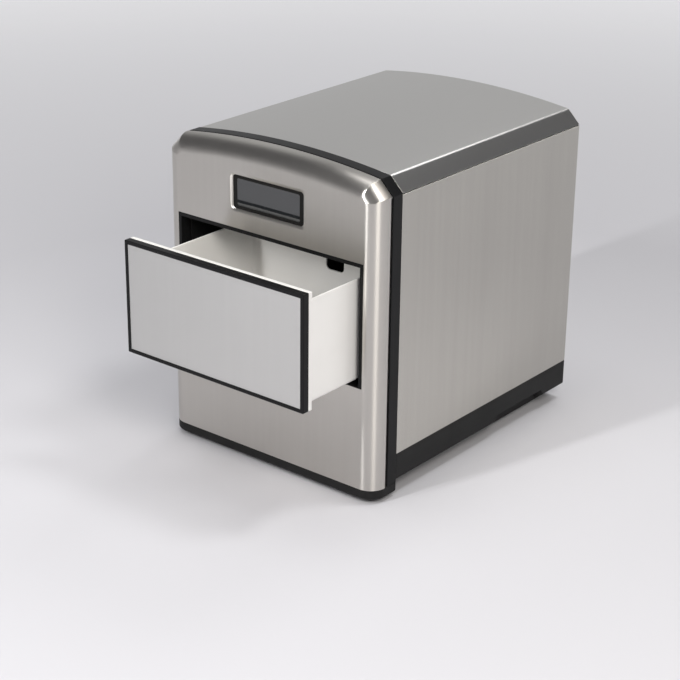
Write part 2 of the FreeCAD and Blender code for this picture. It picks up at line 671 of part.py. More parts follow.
def side_panel(side):
    """Flat steel side with folded edges at the top and at the rear."""
    top = SHOULDER_HEIGHT - SHADOW_GAP
    face = side * HALF
    inner = side * (HALF - SKIN)
    fold = side * (HALF - SKIN - SHEET_FOLD)
    sheet = box(face, inner, TRIM_BACK, BODY_DEPTH, SKIRT_TOP, top)
    upper = box(face, fold, TRIM_BACK, PANEL_FACE, top - SKIN, top)
    rear = box(face, fold, PANEL_FACE - SKIN, PANEL_FACE, SKIRT_TOP, top)
    return fused([sheet, upper, rear]).cut(screw_holes())


def vent_centres():
    """Centres of the vent slots behind the condenser."""
    rows = int((CONDENSER_HEIGHT - 2 * VENT_SLOT) // VENT_PITCH) + 1
    start = FAN_Z - (rows - 1) * VENT_PITCH / 2
    column = CONDENSER_WIDTH / VENT_COLUMNS
    centres = []
    for i in range(VENT_COLUMNS):
        for j in range(rows):
            centres.append((CONDENSER_LEFT + column * (i + 0.5), start + j * VENT_PITCH))
    return centres


def screw_points():
    """Where the rear panel is screwed to the folded edges of the sides."""
    heights = [SKIRT_TOP + SCREW_END, (SKIRT_TOP + SHOULDER_HEIGHT) / 2, SHOULDER_HEIGHT - SCREW_END]
    return [(s * (HALF - SKIN - SCREW_INSET), z) for s in (-1, 1) for z in heights]


def screw_holes():
    """Holes for those screws, through panel and folds."""
    start = PANEL_FACE - SKIN - THROUGH
    length = REAR_FACE + THROUGH - start
    return [rod((x, start, z), (0, 1, 0), SCREW_SHANK + SCREW_FIT, length) for x, z in screw_points()]


def rear_panel():
    """Flat rear sheet with vent slots and a hole for the power inlet."""
    sheet = body_block(SKIN, PANEL_FACE, REAR_FACE, SKIRT_TOP)
    slot_length = CONDENSER_WIDTH / VENT_COLUMNS - 2 * VENT_SLOT
    cutters = screw_holes()
    for x, z in vent_centres():
        cutters.append(rounded_block(slot_length, VENT_SLOT, VENT_SLOT * SLOT_END, x, z,
                                     PANEL_FACE - THROUGH, REAR_FACE + THROUGH))
    cutters.append(box(INLET_X - INLET_WIDTH / 2, INLET_X + INLET_WIDTH / 2,
                       PANEL_FACE - THROUGH, REAR_FACE + THROUGH,
                       INLET_Z - INLET_HEIGHT / 2, INLET_Z + INLET_HEIGHT / 2))
    return sheet.cut(cutters)


def rear_screws():
    """Cross-recessed screws that hold the rear panel."""
    screws = []
    bar = SCREW_CROSS / 2
    deep = REAR_FACE + SCREW_HEAD_HEIGHT / 2
    for x, z in screw_points():
        head = rod((x, REAR_FACE, z), (0, 1, 0), SCREW_HEAD, SCREW_HEAD_HEIGHT)
        crown = [e for e in head.Edges if e.BoundBox.YMin > REAR_FACE + SCREW_HEAD_HEIGHT / 2]
        head = head.makeFillet(SCREW_HEAD_ROUND, crown)
        flat = box(x - SCREW_HEAD / 2, x + SCREW_HEAD / 2, deep, BODY_DEPTH + SCREW_HEAD, z - bar, z + bar)
        tall = box(x - bar, x + bar, deep, BODY_DEPTH + SCREW_HEAD, z - SCREW_HEAD / 2, z + SCREW_HEAD / 2)
        shank = rod((x, REAR_FACE - SCREW_LENGTH, z), (0, 1, 0), SCREW_SHANK, SCREW_LENGTH)
        screws.append(fused([head.cut([flat, tall]), shank]))
    return group(screws)


# ---------------------------------------------------------------- base

def base_profile(inset, y, top):
    """Cross-section of the base with its drawn-in underside."""
    half = HALF - inset
    lean = math.atan2(SKIRT_DRAW, SKIRT_BEND)
    bend = FOOT_HEIGHT + SKIRT_BEND + inset * math.tan(lean / 2)
    low = FOOT_HEIGHT + inset
    foot = half - SKIRT_DRAW + (inset * math.tan(lean / 2) + inset) * math.tan(lean) - inset
    foot = min(foot, half - (bend - low) * math.tan(lean))
    points = [V(-half, y, top), V(-half, y, bend), V(-foot, y, low)]
    points += [V(foot, y, low), V(half, y, bend), V(half, y, top), V(-half, y, top)]
    return Part.Face(Part.makePolygon(points))


def grip_recess(side, margin):
    """Hand grip hollow under one side of the base, made larger by a margin."""
    top = GRIP_TOP + margin
    inner = side * (HALF - GRIP_DEPTH - margin)
    low = FOOT_HEIGHT - THROUGH
    ends = [(GRIP_FRONT - margin - GRIP_RAMP, low), (GRIP_FRONT - margin, top)]
    ends += [(GRIP_BACK + margin, top), (GRIP_BACK + margin + GRIP_RAMP, low)]
    wire = Part.makePolygon([V(inner, y, z) for y, z in ends + ends[:1]])
    return Part.Face(wire).extrude(V(side * (HALF + THROUGH) - inner, 0, 0))


def foot_points():
    """Centres of the four feet."""
    x = HALF - FOOT_SIDE
    return [(s * x, y) for s in (-1, 1) for y in (TRIM_BACK + FOOT_FRONT, BODY_DEPTH - FOOT_REAR)]


def mount_points():
    """Centres of the compressor's four mounts."""
    return [(COMPRESSOR_X + i * MOUNT_SPAN, COMPRESSOR_Y + j * MOUNT_SPAN) for i in (-1, 1) for j in (-1, 1)]


def base_tray():
    """Black moulded base: floor, skirts, two hand grips and the compressor's bosses."""
    tray = base_profile(0, TRIM_BACK, SKIRT_TOP).extrude(V(0, BODY_DEPTH - TRIM_BACK, 0))
    depth = BODY_DEPTH - TRIM_BACK - 2 * BASE_WALL
    hollow = base_profile(BASE_WALL, TRIM_BACK + BASE_WALL, SKIRT_TOP + THROUGH).extrude(V(0, depth, 0))
    hollow = hollow.cut([grip_recess(-1, BASE_WALL), grip_recess(1, BASE_WALL)])
    tray = tray.cut([hollow, grip_recess(-1, 0), grip_recess(1, 0)])
    root = FOOT_HEIGHT + BASE_WALL / 2
    bosses = [rod((x, y, root), (0, 0, 1), GROMMET_RADIUS, BOSS_TOP - root) for x, y in mount_points()]
    cutters = [rod((x, y, FOOT_HEIGHT - THROUGH), (0, 0, 1), FOOT_SPIGOT, BASE_WALL + 2 * THROUGH)
               for x, y in foot_points()]
    for i in range(INTAKE_COUNT):
        x = FAN_X + (i - (INTAKE_COUNT - 1) / 2) * INTAKE_PITCH
        start = BULKHEAD_BACK + INTAKE_LEAD
        cutters.append(box(x - INTAKE_SLOT / 2, x + INTAKE_SLOT / 2, start, start + INTAKE_LENGTH,
                           FOOT_HEIGHT - THROUGH, BASE_FLOOR + THROUGH))
    cutters.append(rod((DRAIN_X, BODY_DEPTH - BASE_WALL - THROUGH, DRAIN_Z), (0, 1, 0),
                       DRAIN_RADIUS + DRAIN_FIT, BASE_WALL + 2 * THROUGH))
    return tray.fuse(bosses).cut(cutters).removeSplitter()


def front_footprint(inset, z0, z1):
    """Footprint of the front, with its two round corners, between two heights."""
    half = HALF - inset
    block = box(-half, half, inset, TRIM_BACK - inset, z0, z1)
    front = [e for e in upright_edges(block) if e.BoundBox.YMax < FRONT_ROUND]
    return block.makeFillet(FRONT_ROUND - inset, front)


def front_base_strip():
    """Black strip under the front panel that follows its round corners."""
    form = front_footprint(0, FOOT_HEIGHT, KICK_TOP)
    low = [e for e in form.Edges if e.BoundBox.ZMax < FOOT_HEIGHT + NEAR]
    rim = [e for e in low if e.BoundBox.YMin < TRIM_BACK - NEAR]
    form = form.makeChamfer(KICK_CHAMFER, rim)
    return form.cut(front_footprint(KICK_WALL, FOOT_HEIGHT + KICK_CHAMFER + KICK_WALL, KICK_TOP + THROUGH))


def rubber_feet():
    """Four rubber feet with spigots that press into the base."""
    feet = []
    for x, y in foot_points():
        pad = Part.makeCone(FOOT_RADIUS - FOOT_TAPER, FOOT_RADIUS, FOOT_HEIGHT, V(x, y, 0), V(0, 0, 1))
        spigot = rod((x, y, FOOT_HEIGHT / 2), (0, 0, 1), FOOT_SPIGOT, FOOT_HEIGHT / 2 + BASE_WALL)
        feet.append(fused([pad, spigot]))
    return group(feet)


# ---------------------------------------------------------------- window

def glass_block(y0, y1):
    """The window glass's outline between two depths."""
    lap = 2 * (GLASS_LAP - WINDOW_BEVEL)
    corner = WINDOW_CORNER + lap / 2
    return rounded_block(WINDOW_WIDTH + lap, WINDOW_HEIGHT + lap, corner, 0, WINDOW_Z, y0, y1)


def window_bezel():
    """Black holder behind the front that carries the glass and the display board."""
    back = WINDOW_RECESS + BEZEL_DEPTH
    outer = rounded_block(WINDOW_WIDTH + 2 * BEZEL_RIM, WINDOW_HEIGHT + 2 * BEZEL_RIM,
                          WINDOW_CORNER + BEZEL_RIM, 0, WINDOW_Z, WINDOW_RECESS, back)
    seat = glass_block(WINDOW_RECESS - THROUGH, WINDOW_RECESS + GLASS)
    half = BOARD_WIDTH / 2 + BOARD_CLEAR
    tall = BOARD_HEIGHT / 2 + BOARD_CLEAR
    well = box(-half, half, WINDOW_RECESS, back + THROUGH, WINDOW_Z - tall, WINDOW_Z + tall)
    return outer.cut([seat, well])


def display_window():
    """Smoked glass of the window, seated in its holder."""
    return glass_block(WINDOW_RECESS, WINDOW_RECESS + GLASS)


def display_board():
    """Display board behind the glass, with a two-digit module and its plug."""
    front = WINDOW_RECESS + GLASS + BOARD_GAP
    back = front + BOARD
    half = BOARD_WIDTH / 2
    card = box(-half, half, front, back, WINDOW_Z - BOARD_HEIGHT / 2, WINDOW_Z + BOARD_HEIGHT / 2)
    digits = box(-DIGITS_WIDTH / 2, DIGITS_WIDTH / 2, front - DIGITS_DEPTH, front,
                 WINDOW_Z - DIGITS_HEIGHT / 2, WINDOW_Z + DIGITS_HEIGHT / 2)
    plug = box(half - 1.5 * PLUG_SIZE, half - PLUG_SIZE / 2, back, back + PLUG_DEPTH,
               WINDOW_Z - PLUG_SIZE / 2, WINDOW_Z + PLUG_SIZE / 2)
    return fused([card, digits, plug])


# ---------------------------------------------------------------- drawer opening and drawer

def drawer_opening_frame():
    """Black frame that lines the drawer opening."""
    outer = opening_block(0, 0, FRAME_DEPTH)
    flange = box(-CLEAR_HALF, CLEAR_HALF, FRONT_SKIN, FRONT_SKIN + FRAME_FLANGE_THICKNESS,
                 OPENING_BOTTOM - FRAME_FLANGE, OPENING_TOP + FRAME_FLANGE)
    clear = box(-CLEAR_HALF, CLEAR_HALF, -THROUGH, FRAME_DEPTH + THROUGH, LINER_FLOOR, LINER_CEILING)
    return fused([outer, flange]).cut(clear)


def plate_block(y0, y1, inset):
    """The drawer's front plate outline between two depths, drawn in by an inset."""
    half = DRAWER_HALF - FRONT_FRAME_RIM - inset
    low = DRAWER_BOTTOM + FRONT_FRAME_RIM + inset
    return box(-half, half, DRAWER_FACE + y0, DRAWER_FACE + y1, low, DRAWER_TOP - FRONT_FRAME_RIM - inset)


def front_block(y0, y1):
    """The drawer front's whole outline between two depths, with round corners."""
    block = box(-DRAWER_HALF, DRAWER_HALF, DRAWER_FACE + y0, DRAWER_FACE + y1, DRAWER_BOTTOM, DRAWER_TOP)
    corners = [e for e in block.Edges if e.BoundBox.YLength > max(e.BoundBox.XLength, e.BoundBox.ZLength)]
    return block.makeFillet(FRONT_CORNER, corners)


def drawer_front_plate():
    """Flat brushed plate held in the drawer's front frame."""
    return plate_block(PLATE_RECESS, PLATE_RECESS + FRONT_PLATE, 0)


def drawer_front_frame():
    """Black frame around the drawer's front plate, with a web behind the plate."""
    outer = front_block(0, FRONT_FRAME_DEPTH)
    front = [e for e in outer.Edges if e.BoundBox.YMax < DRAWER_FACE + NEAR]
    outer = outer.makeFillet(FRONT_FRAME_ROUND, front)
    pocket = plate_block(-THROUGH, PLATE_RECESS + FRONT_PLATE, 0)
    hollow = plate_block(PLATE_RECESS + FRONT_PLATE + FRONT_FRAME_WEB, FRONT_FRAME_DEPTH + THROUGH, 0)
    return outer.cut([pocket, hollow])


def drawer_front_backing():
    """White pan that closes the drawer's front and carries the bin."""
    hollow = plate_block(FRONT_FRAME_DEPTH - THROUGH, DRAWER_BACK - BACKING_WALL, 0)
    return front_block(FRONT_FRAME_DEPTH, DRAWER_BACK).cut(hollow)


def drawer_bin():
    """White ice bin with a notched back wall and drain holes."""
    front = DRAWER_FACE + DRAWER_BACK
    back = DRAWER_FACE + BIN_BACK
    outer = upright_block(BIN_LEFT, BIN_RIGHT, front, back, BIN_FLOOR, BIN_RIM, BIN_CORNER)
    outer = fused([outer, box(BIN_LEFT, BIN_RIGHT, front, front + BIN_DEPTH / 2, BIN_FLOOR, BIN_RIM)])
    inner = upright_block(BIN_LEFT + BIN_WALL, BIN_RIGHT - BIN_WALL, front + BIN_WALL, back - BIN_WALL,
                          BIN_FLOOR + BIN_WALL, BIN_RIM + THROUGH, BIN_CORNER - BIN_WALL)
    notch = rounded_block(NOTCH_WIDTH, 2 * NOTCH_DEPTH, NOTCH_CORNER, NOTCH_CENTRE, BIN_RIM,
                          back - 2 * BIN_WALL, back + THROUGH)
    holes = []
    for i in range(DRAIN_COLUMNS):
        for j in range(DRAIN_ROWS):
            x = BIN_LEFT + (BIN_RIGHT - BIN_LEFT) * (i + 1) / (DRAIN_COLUMNS + 1)
            y = front + BIN_DEPTH * (j + 1) / (DRAIN_ROWS + 1)
            holes.append(rod((x, y, BIN_FLOOR - THROUGH), (0, 0, 1), DRAIN_HOLE, BIN_WALL + 2 * THROUGH))
    return outer.cut([inner, notch] + holes)


def compartment_liner():
    """Black box that houses the drawer, with rails, a throat for ice and a sump slot."""
    outer_half = LINER_HALF + LINER_WALL
    outer = box(-outer_half, outer_half, LINER_FRONT, LINER_BACK, LINER_UNDER, LINER_TOP)
    inner = box(-LINER_HALF, LINER_HALF, LINER_FRONT - THROUGH, LINER_INNER_BACK, LINER_FLOOR, LINER_CEILING)
    throat_half = LINER_HALF - THROAT_SIDE
    throat = box(-throat_half, throat_half, TRAY_FRONT - THROAT_LEAD, LINER_INNER_BACK,
                 LINER_CEILING - THROUGH, LINER_TOP + THROUGH)
    slot_half = TANK_HALF - SUMP_SIDE
    slot_front = LINER_INNER_BACK - SUMP_SLOT
    slot = box(-slot_half, slot_half, slot_front, LINER_INNER_BACK,
               LINER_UNDER - THROUGH, LINER_FLOOR + THROUGH)
    rails = []
    for x in (BIN_LEFT + RAIL_INSET, BIN_RIGHT - RAIL_INSET):
        rails.append(box(x - RAIL_WIDTH / 2, x + RAIL_WIDTH / 2, LINER_FRONT, slot_front,
                         LINER_UNDER + LINER_WALL / 2, BIN_FLOOR - SLIDE_CLEAR))
    return fused([outer.cut([inner, throat, slot])] + rails)


def compartment_insulation():
    """Foam slabs on both sides of the compartment and under its floor."""
    side = LINER_HALF + LINER_WALL
    slabs = [box(s * side, s * (side + FOAM_SIDE), TRIM_BACK, LINER_BACK, LINER_UNDER, LINER_CEILING)
             for s in (-1, 1)]
    rear = LINER_INNER_BACK - SUMP_SLOT - FOAM_REAR
    slabs.append(box(-side, side, TANK_FRONT, rear, TANK_TOP, LINER_UNDER))
    return group(slabs)


def bulkhead():
    """Steel wall between the cold side and the machine room, stood on the base floor."""
    wall = body_block(SKIN + BULKHEAD_CLEAR, BULKHEAD_Y, BULKHEAD_BACK, SKIRT_TOP)
    inside = HALF - BASE_WALL - BULKHEAD_CLEAR
    bend = FOOT_HEIGHT + SKIRT_BEND + BASE_WALL
    foot = box(-inside, inside, BULKHEAD_Y, BULKHEAD_BACK, bend, SKIRT_TOP)
    narrow = inside - SKIRT_DRAW
    sole = box(-narrow, narrow, BULKHEAD_Y, BULKHEAD_BACK, BASE_FLOOR, bend)
    cutters = [rod((DRAIN_X, BULKHEAD_Y - THROUGH, DRAIN_Z), (0, 1, 0), DRAIN_HOSE + DRAIN_FIT,
                   BULKHEAD + 2 * THROUGH)]
    reach = EVAPORATOR_ENDS + 2 * EVAPORATOR_TUBE
    cutters.append(box(-reach, reach, BULKHEAD_Y - THROUGH, BULKHEAD_BACK + THROUGH,
                       TUBE_Z - 2 * EVAPORATOR_TUBE, TUBE_Z + 2 * EVAPORATOR_TUBE))
    fold_top = SHOULDER_HEIGHT - SHADOW_GAP
    fold_edge = HALF - SKIN - SHEET_FOLD - BULKHEAD_CLEAR
    for s in (-1, 1):
        cutters.append(box(s * fold_edge, s * HALF, BULKHEAD_Y - THROUGH, BULKHEAD_BACK + THROUGH,
                           fold_top - SKIN - BULKHEAD_CLEAR, fold_top + BULKHEAD_CLEAR))
    return fused([wall, foot, sole]).cut(cutters)


# ---------------------------------------------------------------- water

def water_reservoir():
    """Open water tank under the drawer compartment, on four legs, with a drain stub."""
    outer = upright_block(-TANK_HALF, TANK_HALF, TANK_FRONT, TANK_BACK, TANK_BOTTOM, TANK_TOP, TANK_CORNER)
    inner = upright_block(-TANK_HALF + TANK_WALL, TANK_HALF - TANK_WALL, TANK_FRONT + TANK_WALL,
                          TANK_BACK - TANK_WALL, TANK_FLOOR, TANK_TOP + THROUGH, TANK_CORNER - TANK_WALL)
    leg_x = TANK_HALF - TANK_LEG_SIDE
    legs = [rod((s * leg_x, y, BASE_FLOOR), (0, 0, 1), TANK_LEG_RADIUS, TANK_LIFT + TANK_WALL / 2)
            for s in (-1, 1) for y in (TANK_FRONT + TANK_LEG_END, TANK_BACK - TANK_LEG_END)]
    stub = rod((DRAIN_X, TANK_BACK - TANK_WALL / 2, DRAIN_Z), (0, 1, 0), DRAIN_SPIGOT, DRAIN_STUB)
    bore = rod((DRAIN_X, TANK_BACK - 2 * TANK_WALL, DRAIN_Z), (0, 1, 0), DRAIN_BORE,
               2 * TANK_WALL + DRAIN_STUB)
    return fused([outer.cut(inner), stub] + legs).cut(bore)


def water_pump():
    """Small submersible pump with an inlet foot and a hose barb."""
    body = rod((PUMP_X, PUMP_Y, TANK_FLOOR + PUMP_FOOT), (0, 0, 1), PUMP_RADIUS, PUMP_HEIGHT - PUMP_FOOT)
    foot = rod((PUMP_X, PUMP_Y, TANK_FLOOR), (0, 0, 1), PUMP_RADIUS - PUMP_FOOT, 2 * PUMP_FOOT)
    barb = rod((PUMP_X, PUMP_Y, PUMP_TOP - PUMP_FOOT), (0, 0, 1), HOSE_BORE, PUMP_FOOT + BARB_LENGTH)
    return fused([body, foot, barb])


def pump_hose():
    """Hose from the pump, up behind the drawer and over the end of the tray."""
    fill_x = TRAY_HALF - TRAY_WALL - HOSE_RADIUS
    fill_y = TRAY_MID_Y
    low = TANK_TOP - HOSE_TURN
    path = [(PUMP_X, PUMP_Y, PUMP_TOP), (PUMP_X, PUMP_Y, low - HOSE_BEND), (HOSE_X, HOSE_Y, low)]
    path += [(HOSE_X, HOSE_Y, TUBE_Z), (HOSE_X, fill_y, TUBE_Z), (fill_x, fill_y, TUBE_Z)]
    path.append((fill_x, fill_y, PIVOT_Z + HOSE_END_GAP))
    bore = rod((PUMP_X, PUMP_Y, PUMP_TOP - THROUGH), (0, 0, 1), HOSE_BORE, THROUGH + BARB_LENGTH)
    return pipe(path, HOSE_RADIUS, HOSE_BEND).cut(bore)


def float_stem():
    """Fixed stem of the level switch with end stops."""
    stem = rod((FLOAT_X, FLOAT_Y, TANK_FLOOR), (0, 0, 1), STEM_RADIUS, STEM_HEIGHT)
    flange = rod((FLOAT_X, FLOAT_Y, TANK_FLOOR), (0, 0, 1), FLOAT_RADIUS, STEM_STOP)
    stop_z = TANK_FLOOR + STEM_HEIGHT - STEM_STOP
    stop = rod((FLOAT_X, FLOAT_Y, stop_z), (0, 0, 1), STEM_STOP_RADIUS, STEM_STOP)
    return fused([stem, flange, stop])


def water_float():
    """Float ring that rides up and down the stem."""
    ring = rod((FLOAT_X, FLOAT_Y, FLOAT_Z), (0, 0, 1), FLOAT_RADIUS, FLOAT_HEIGHT)
    ring = ring.makeFillet(FLOAT_ROUND, [e for e in ring.Edges if e.BoundBox.ZLength < NEAR])
    bore = rod((FLOAT_X, FLOAT_Y, FLOAT_Z - THROUGH), (0, 0, 1), STEM_RADIUS + FLOAT_CLEAR,
               FLOAT_HEIGHT + 2 * THROUGH)
    return ring.cut(bore)


def drain_hose():
    """Hose from the tank's stub to the outlet at the rear, pushed over both spigots."""
    length = DRAIN_END - TANK_BACK
    tube = rod((DRAIN_X, TANK_BACK, DRAIN_Z), (0, 1, 0), DRAIN_HOSE, length)
    return tube.cut(rod((DRAIN_X, TANK_BACK - THROUGH, DRAIN_Z), (0, 1, 0), DRAIN_SPIGOT,
                        length + 2 * THROUGH))


def drain_outlet():
    """Outlet with a flange, fixed through the back of the base."""
    spigot = rod((DRAIN_X, DRAIN_END - DRAIN_STUB, DRAIN_Z), (0, 1, 0), DRAIN_SPIGOT, 2 * DRAIN_STUB)
    barrel = rod((DRAIN_X, DRAIN_END, DRAIN_Z), (0, 1, 0), DRAIN_RADIUS, BODY_DEPTH - DRAIN_END)
    flange = rod((DRAIN_X, BODY_DEPTH - BASE_WALL - DRAIN_FLANGE_THICKNESS, DRAIN_Z), (0, 1, 0),
                 DRAIN_RADIUS + DRAIN_FLANGE, DRAIN_FLANGE_THICKNESS)
    bore = rod((DRAIN_X, DRAIN_END - DRAIN_STUB - THROUGH, DRAIN_Z), (0, 1, 0), DRAIN_BORE,
               BODY_DEPTH - DRAIN_END + DRAIN_STUB + 2 * THROUGH)
    return fused([spigot, barrel, flange]).cut(bore)


def drain_cap():
    """Quarter-turn cap with a plug and a grip bar on the drain outlet."""
    y = BODY_DEPTH + CAP_GAP
    cap = rod((DRAIN_X, y, DRAIN_Z), (0, 1, 0), CAP_RADIUS, CAP_DEPTH)
    flutes = []
    for i in range(CAP_FLUTES):
        a = 2 * math.pi * (i + 0.5) / CAP_FLUTES
        x = DRAIN_X + (CAP_RADIUS + CAP_FLUTE / 2) * math.cos(a)
        z = DRAIN_Z + (CAP_RADIUS + CAP_FLUTE / 2) * math.sin(a)
        flutes.append(rod((x, y + CAP_FLUTE, z), (0, 1, 0), CAP_FLUTE, CAP_DEPTH))
    half = CAP_RADIUS - CAP_FLUTE
    grip = box(DRAIN_X - half, DRAIN_X + half, y + CAP_DEPTH / 2, y + CAP_DEPTH + CAP_GRIP,
               DRAIN_Z - CAP_GRIP / 2, DRAIN_Z + CAP_GRIP / 2)
    plug = rod((DRAIN_X, y - CAP_PLUG, DRAIN_Z), (0, 1, 0), DRAIN_BORE - SHAFT_CLEAR,
               CAP_PLUG + CAP_DEPTH / 2)
    return fused([cap.cut(flutes), grip, plug])


# ---------------------------------------------------------------- ice making

def freezing_fingers():
    """Plated fingers that dip into the water, one solid each."""
    fingers = []
    low = FINGER_TIP + FINGER_RADIUS
    for i in range(FINGER_COUNT):
        for j in range(FINGER_ROWS):
            x = (i - (FINGER_COUNT - 1) / 2) * FINGER_PITCH
            y = TRAY_MID_Y + (j - (FINGER_ROWS - 1) / 2) * FINGER_ROW_PITCH
            shank = rod((x, y, low), (0, 0, 1), FINGER_RADIUS, PLATE_Z - low)
            fingers.append(fused([shank, Part.makeSphere(FINGER_RADIUS, V(x, y, low))]))
    return group(fingers)


def evaporator_plate():
    """Plate that carries the fingers and the evaporator tube."""
    return upright_block(-PLATE_HALF, PLATE_HALF, TRAY_MID_Y - PLATE_DEEP, TRAY_MID_Y + PLATE_DEEP,
                         PLATE_Z, PLATE_Z + PLATE_THICKNESS, PLATE_CORNER)


def evaporator_tube():
    """Copper loop on top of the plate with both ends led through the bulkhead."""
    reach = PLATE_HALF - PLATE_MARGIN
    front = TRAY_MID_Y - FINGER_ROW_PITCH / 2
    back = TRAY_MID_Y + FINGER_ROW_PITCH / 2
    half_loop = [(EVAPORATOR_ENDS, TUBE_END), (EVAPORATOR_ENDS, back), (reach, back), (reach, front)]
    path = [(-x, y, TUBE_Z) for x, y in half_loop]
    path += [(x, y, TUBE_Z) for x, y in reversed(half_loop)]
    return pipe(path, EVAPORATOR_TUBE, 2 * EVAPORATOR_TUBE)


def evaporator_hood():
    """Plastic hood on the bulkhead that carries the evaporator and the tray's bearings."""
    bottom = CHUTE_HIGH_Z + CHUTE_THICKNESS + HOOD_LIFT
    roof = box(-HOOD_OUTER, HOOD_OUTER, HOOD_FRONT, BULKHEAD_Y, HOOD_ROOF, HOOD_ROOF + HOOD_WALL)
    skirt = box(-HOOD_OUTER, HOOD_OUTER, HOOD_FRONT, HOOD_FRONT + HOOD_WALL, PLATE_Z, HOOD_ROOF + HOOD_WALL)
    pieces = [roof, skirt]
    top = HOOD_ROOF + HOOD_WALL
    for s in (-1, 1):
        pieces.append(box(s * HOOD_HALF, s * HOOD_OUTER, HOOD_FRONT, BULKHEAD_Y, bottom, top))
        pieces.append(rod((s * HOOD_HALF, PIVOT_Y, PIVOT_Z), (s, 0, 0), BOSS_RADIUS, HOOD_WALL + BOSS_LENGTH))
        pieces.append(rod((s * PLATE_HALF / 2, TRAY_MID_Y, PLATE_Z + PLATE_THICKNESS), (0, 0, 1),
                          HOOD_POST, HOOD_ROOF - PLATE_Z - PLATE_THICKNESS + HOOD_WALL / 2))
    bearing = rod((-BOSS_FACE - THROUGH, PIVOT_Y, PIVOT_Z), (1, 0, 0), SHAFT_RADIUS + SHAFT_CLEAR,
                  2 * (BOSS_FACE + THROUGH))
    hose_hole = rod((HOOD_HALF - THROUGH, TRAY_MID_Y, TUBE_Z), (1, 0, 0), HOSE_RADIUS + SHAFT_CLEAR,
                    HOOD_WALL + 2 * THROUGH)
    return fused(pieces).cut([bearing, hose_hole])


def trough_form(inset, top):
    """The tray's rounded trough, drawn in by an inset."""
    form = box(-TRAY_HALF + inset, TRAY_HALF - inset, TRAY_FRONT + inset, TRAY_REAR - inset,
               TRAY_BOTTOM + inset, top)
    long_edges = [e for e in form.Edges if e.BoundBox.XLength > TRAY_HALF]
    low = [e for e in long_edges if e.BoundBox.ZMax < TRAY_BOTTOM + inset + NEAR]
    return form.makeFillet(TRAY_ROUND - inset, low)


def water_tray():
    """Tilting trough that the fingers dip into, with lugs for its shaft."""
    trough = trough_form(0, PIVOT_Z)
    hollow = trough_form(TRAY_WALL, PIVOT_Z + THROUGH)
    lugs = []
    for s in (-1, 1):
        x = s * (TRAY_HALF - TRAY_WALL)
        lugs.append(rod((x, PIVOT_Y, PIVOT_Z), (s, 0, 0), LUG_RADIUS, LUG_THICKNESS))
        lugs.append(box(x, x + s * LUG_THICKNESS, PIVOT_Y - LUG_WEB, PIVOT_Y, PIVOT_Z - LUG_RADIUS, PIVOT_Z))
    bore = rod((-FAR, PIVOT_Y, PIVOT_Z), (1, 0, 0), SHAFT_RADIUS, 2 * FAR)
    return fused([trough.cut(hollow)] + lugs).cut(bore)


def tray_shaft():
    """Steel stub shafts fixed in the tray's lugs; the left one enters the motor."""
    inner = TRAY_HALF - TRAY_WALL
    right = rod((inner, PIVOT_Y, PIVOT_Z), (1, 0, 0), SHAFT_RADIUS, BOSS_FACE - inner)
    left = rod((-inner, PIVOT_Y, PIVOT_Z), (-1, 0, 0), SHAFT_RADIUS, BOSS_FACE + MOTOR_SHAFT_DEPTH - inner)
    return group([right, left])


def tray_motor():
    """Geared motor on the hood's left wall that tilts the tray."""
    y = PIVOT_Y - MOTOR_OFFSET
    body = rod((-BOSS_FACE, y, PIVOT_Z), (-1, 0, 0), MOTOR_RADIUS, MOTOR_LENGTH)
    ear_x = -BOSS_FACE - MOTOR_EAR_THICKNESS
    bar = box(ear_x, -BOSS_FACE, y - MOTOR_EAR, y + MOTOR_EAR,
              PIVOT_Z - MOTOR_EAR_WIDTH, PIVOT_Z + MOTOR_EAR_WIDTH)
    corners = [e for e in bar.Edges if e.BoundBox.XLength > max(e.BoundBox.YLength, e.BoundBox.ZLength)]
    bar = bar.makeFillet(MOTOR_EAR_ROUND, corners)
    hole_y = MOTOR_EAR - MOTOR_EAR_WIDTH / 2
    cutters = [rod((ear_x - THROUGH, y + s * hole_y, PIVOT_Z), (1, 0, 0), SCREW_SHANK,
                   MOTOR_EAR_THICKNESS + 2 * THROUGH) for s in (-1, 1)]
    cutters.append(rod((-BOSS_FACE + THROUGH, PIVOT_Y, PIVOT_Z), (-1, 0, 0), SHAFT_RADIUS + SHAFT_CLEAR,
                       MOTOR_SHAFT_DEPTH + 2 * THROUGH))
    return fused([body, bar]).cut(cutters)


def ice_chute():
    """Slotted sloping plate: ice slides forward into the bin, water drops through."""
    back = LINER_INNER_BACK
    low = [(CHUTE_LOW_Y, CHUTE_LOW_Z), (back, CHUTE_HIGH_Z), (back, CHUTE_HIGH_Z + CHUTE_THICKNESS)]
    low.append((CHUTE_LOW_Y, CHUTE_LOW_Z + CHUTE_THICKNESS))
    wire = Part.makePolygon([V(-CHUTE_HALF, y, z) for y, z in low + low[:1]])
    plate = Part.Face(wire).extrude(V(2 * CHUTE_HALF, 0, 0))
    tab = box(-CHUTE_HALF, CHUTE_HALF, back - CHUTE_THICKNESS, back, CHUTE_HIGH_Z - CHUTE_TAB,
              CHUTE_HIGH_Z + CHUTE_THICKNESS / 2)
    count = int(2 * CHUTE_HALF // CHUTE_SLOT_PITCH) - 1
    slots = []
    for i in range(count):
        x = (i - (count - 1) / 2) * CHUTE_SLOT_PITCH
        slots.append(box(x - CHUTE_SLOT / 2, x + CHUTE_SLOT / 2,
                         CHUTE_LOW_Y + CHUTE_SLOT, back - 2 * CHUTE_THICKNESS,
                         CHUTE_LOW_Z - THROUGH, CHUTE_HIGH_Z + 2 * CHUTE_THICKNESS))
    return fused([plate, tab]).cut(slots)


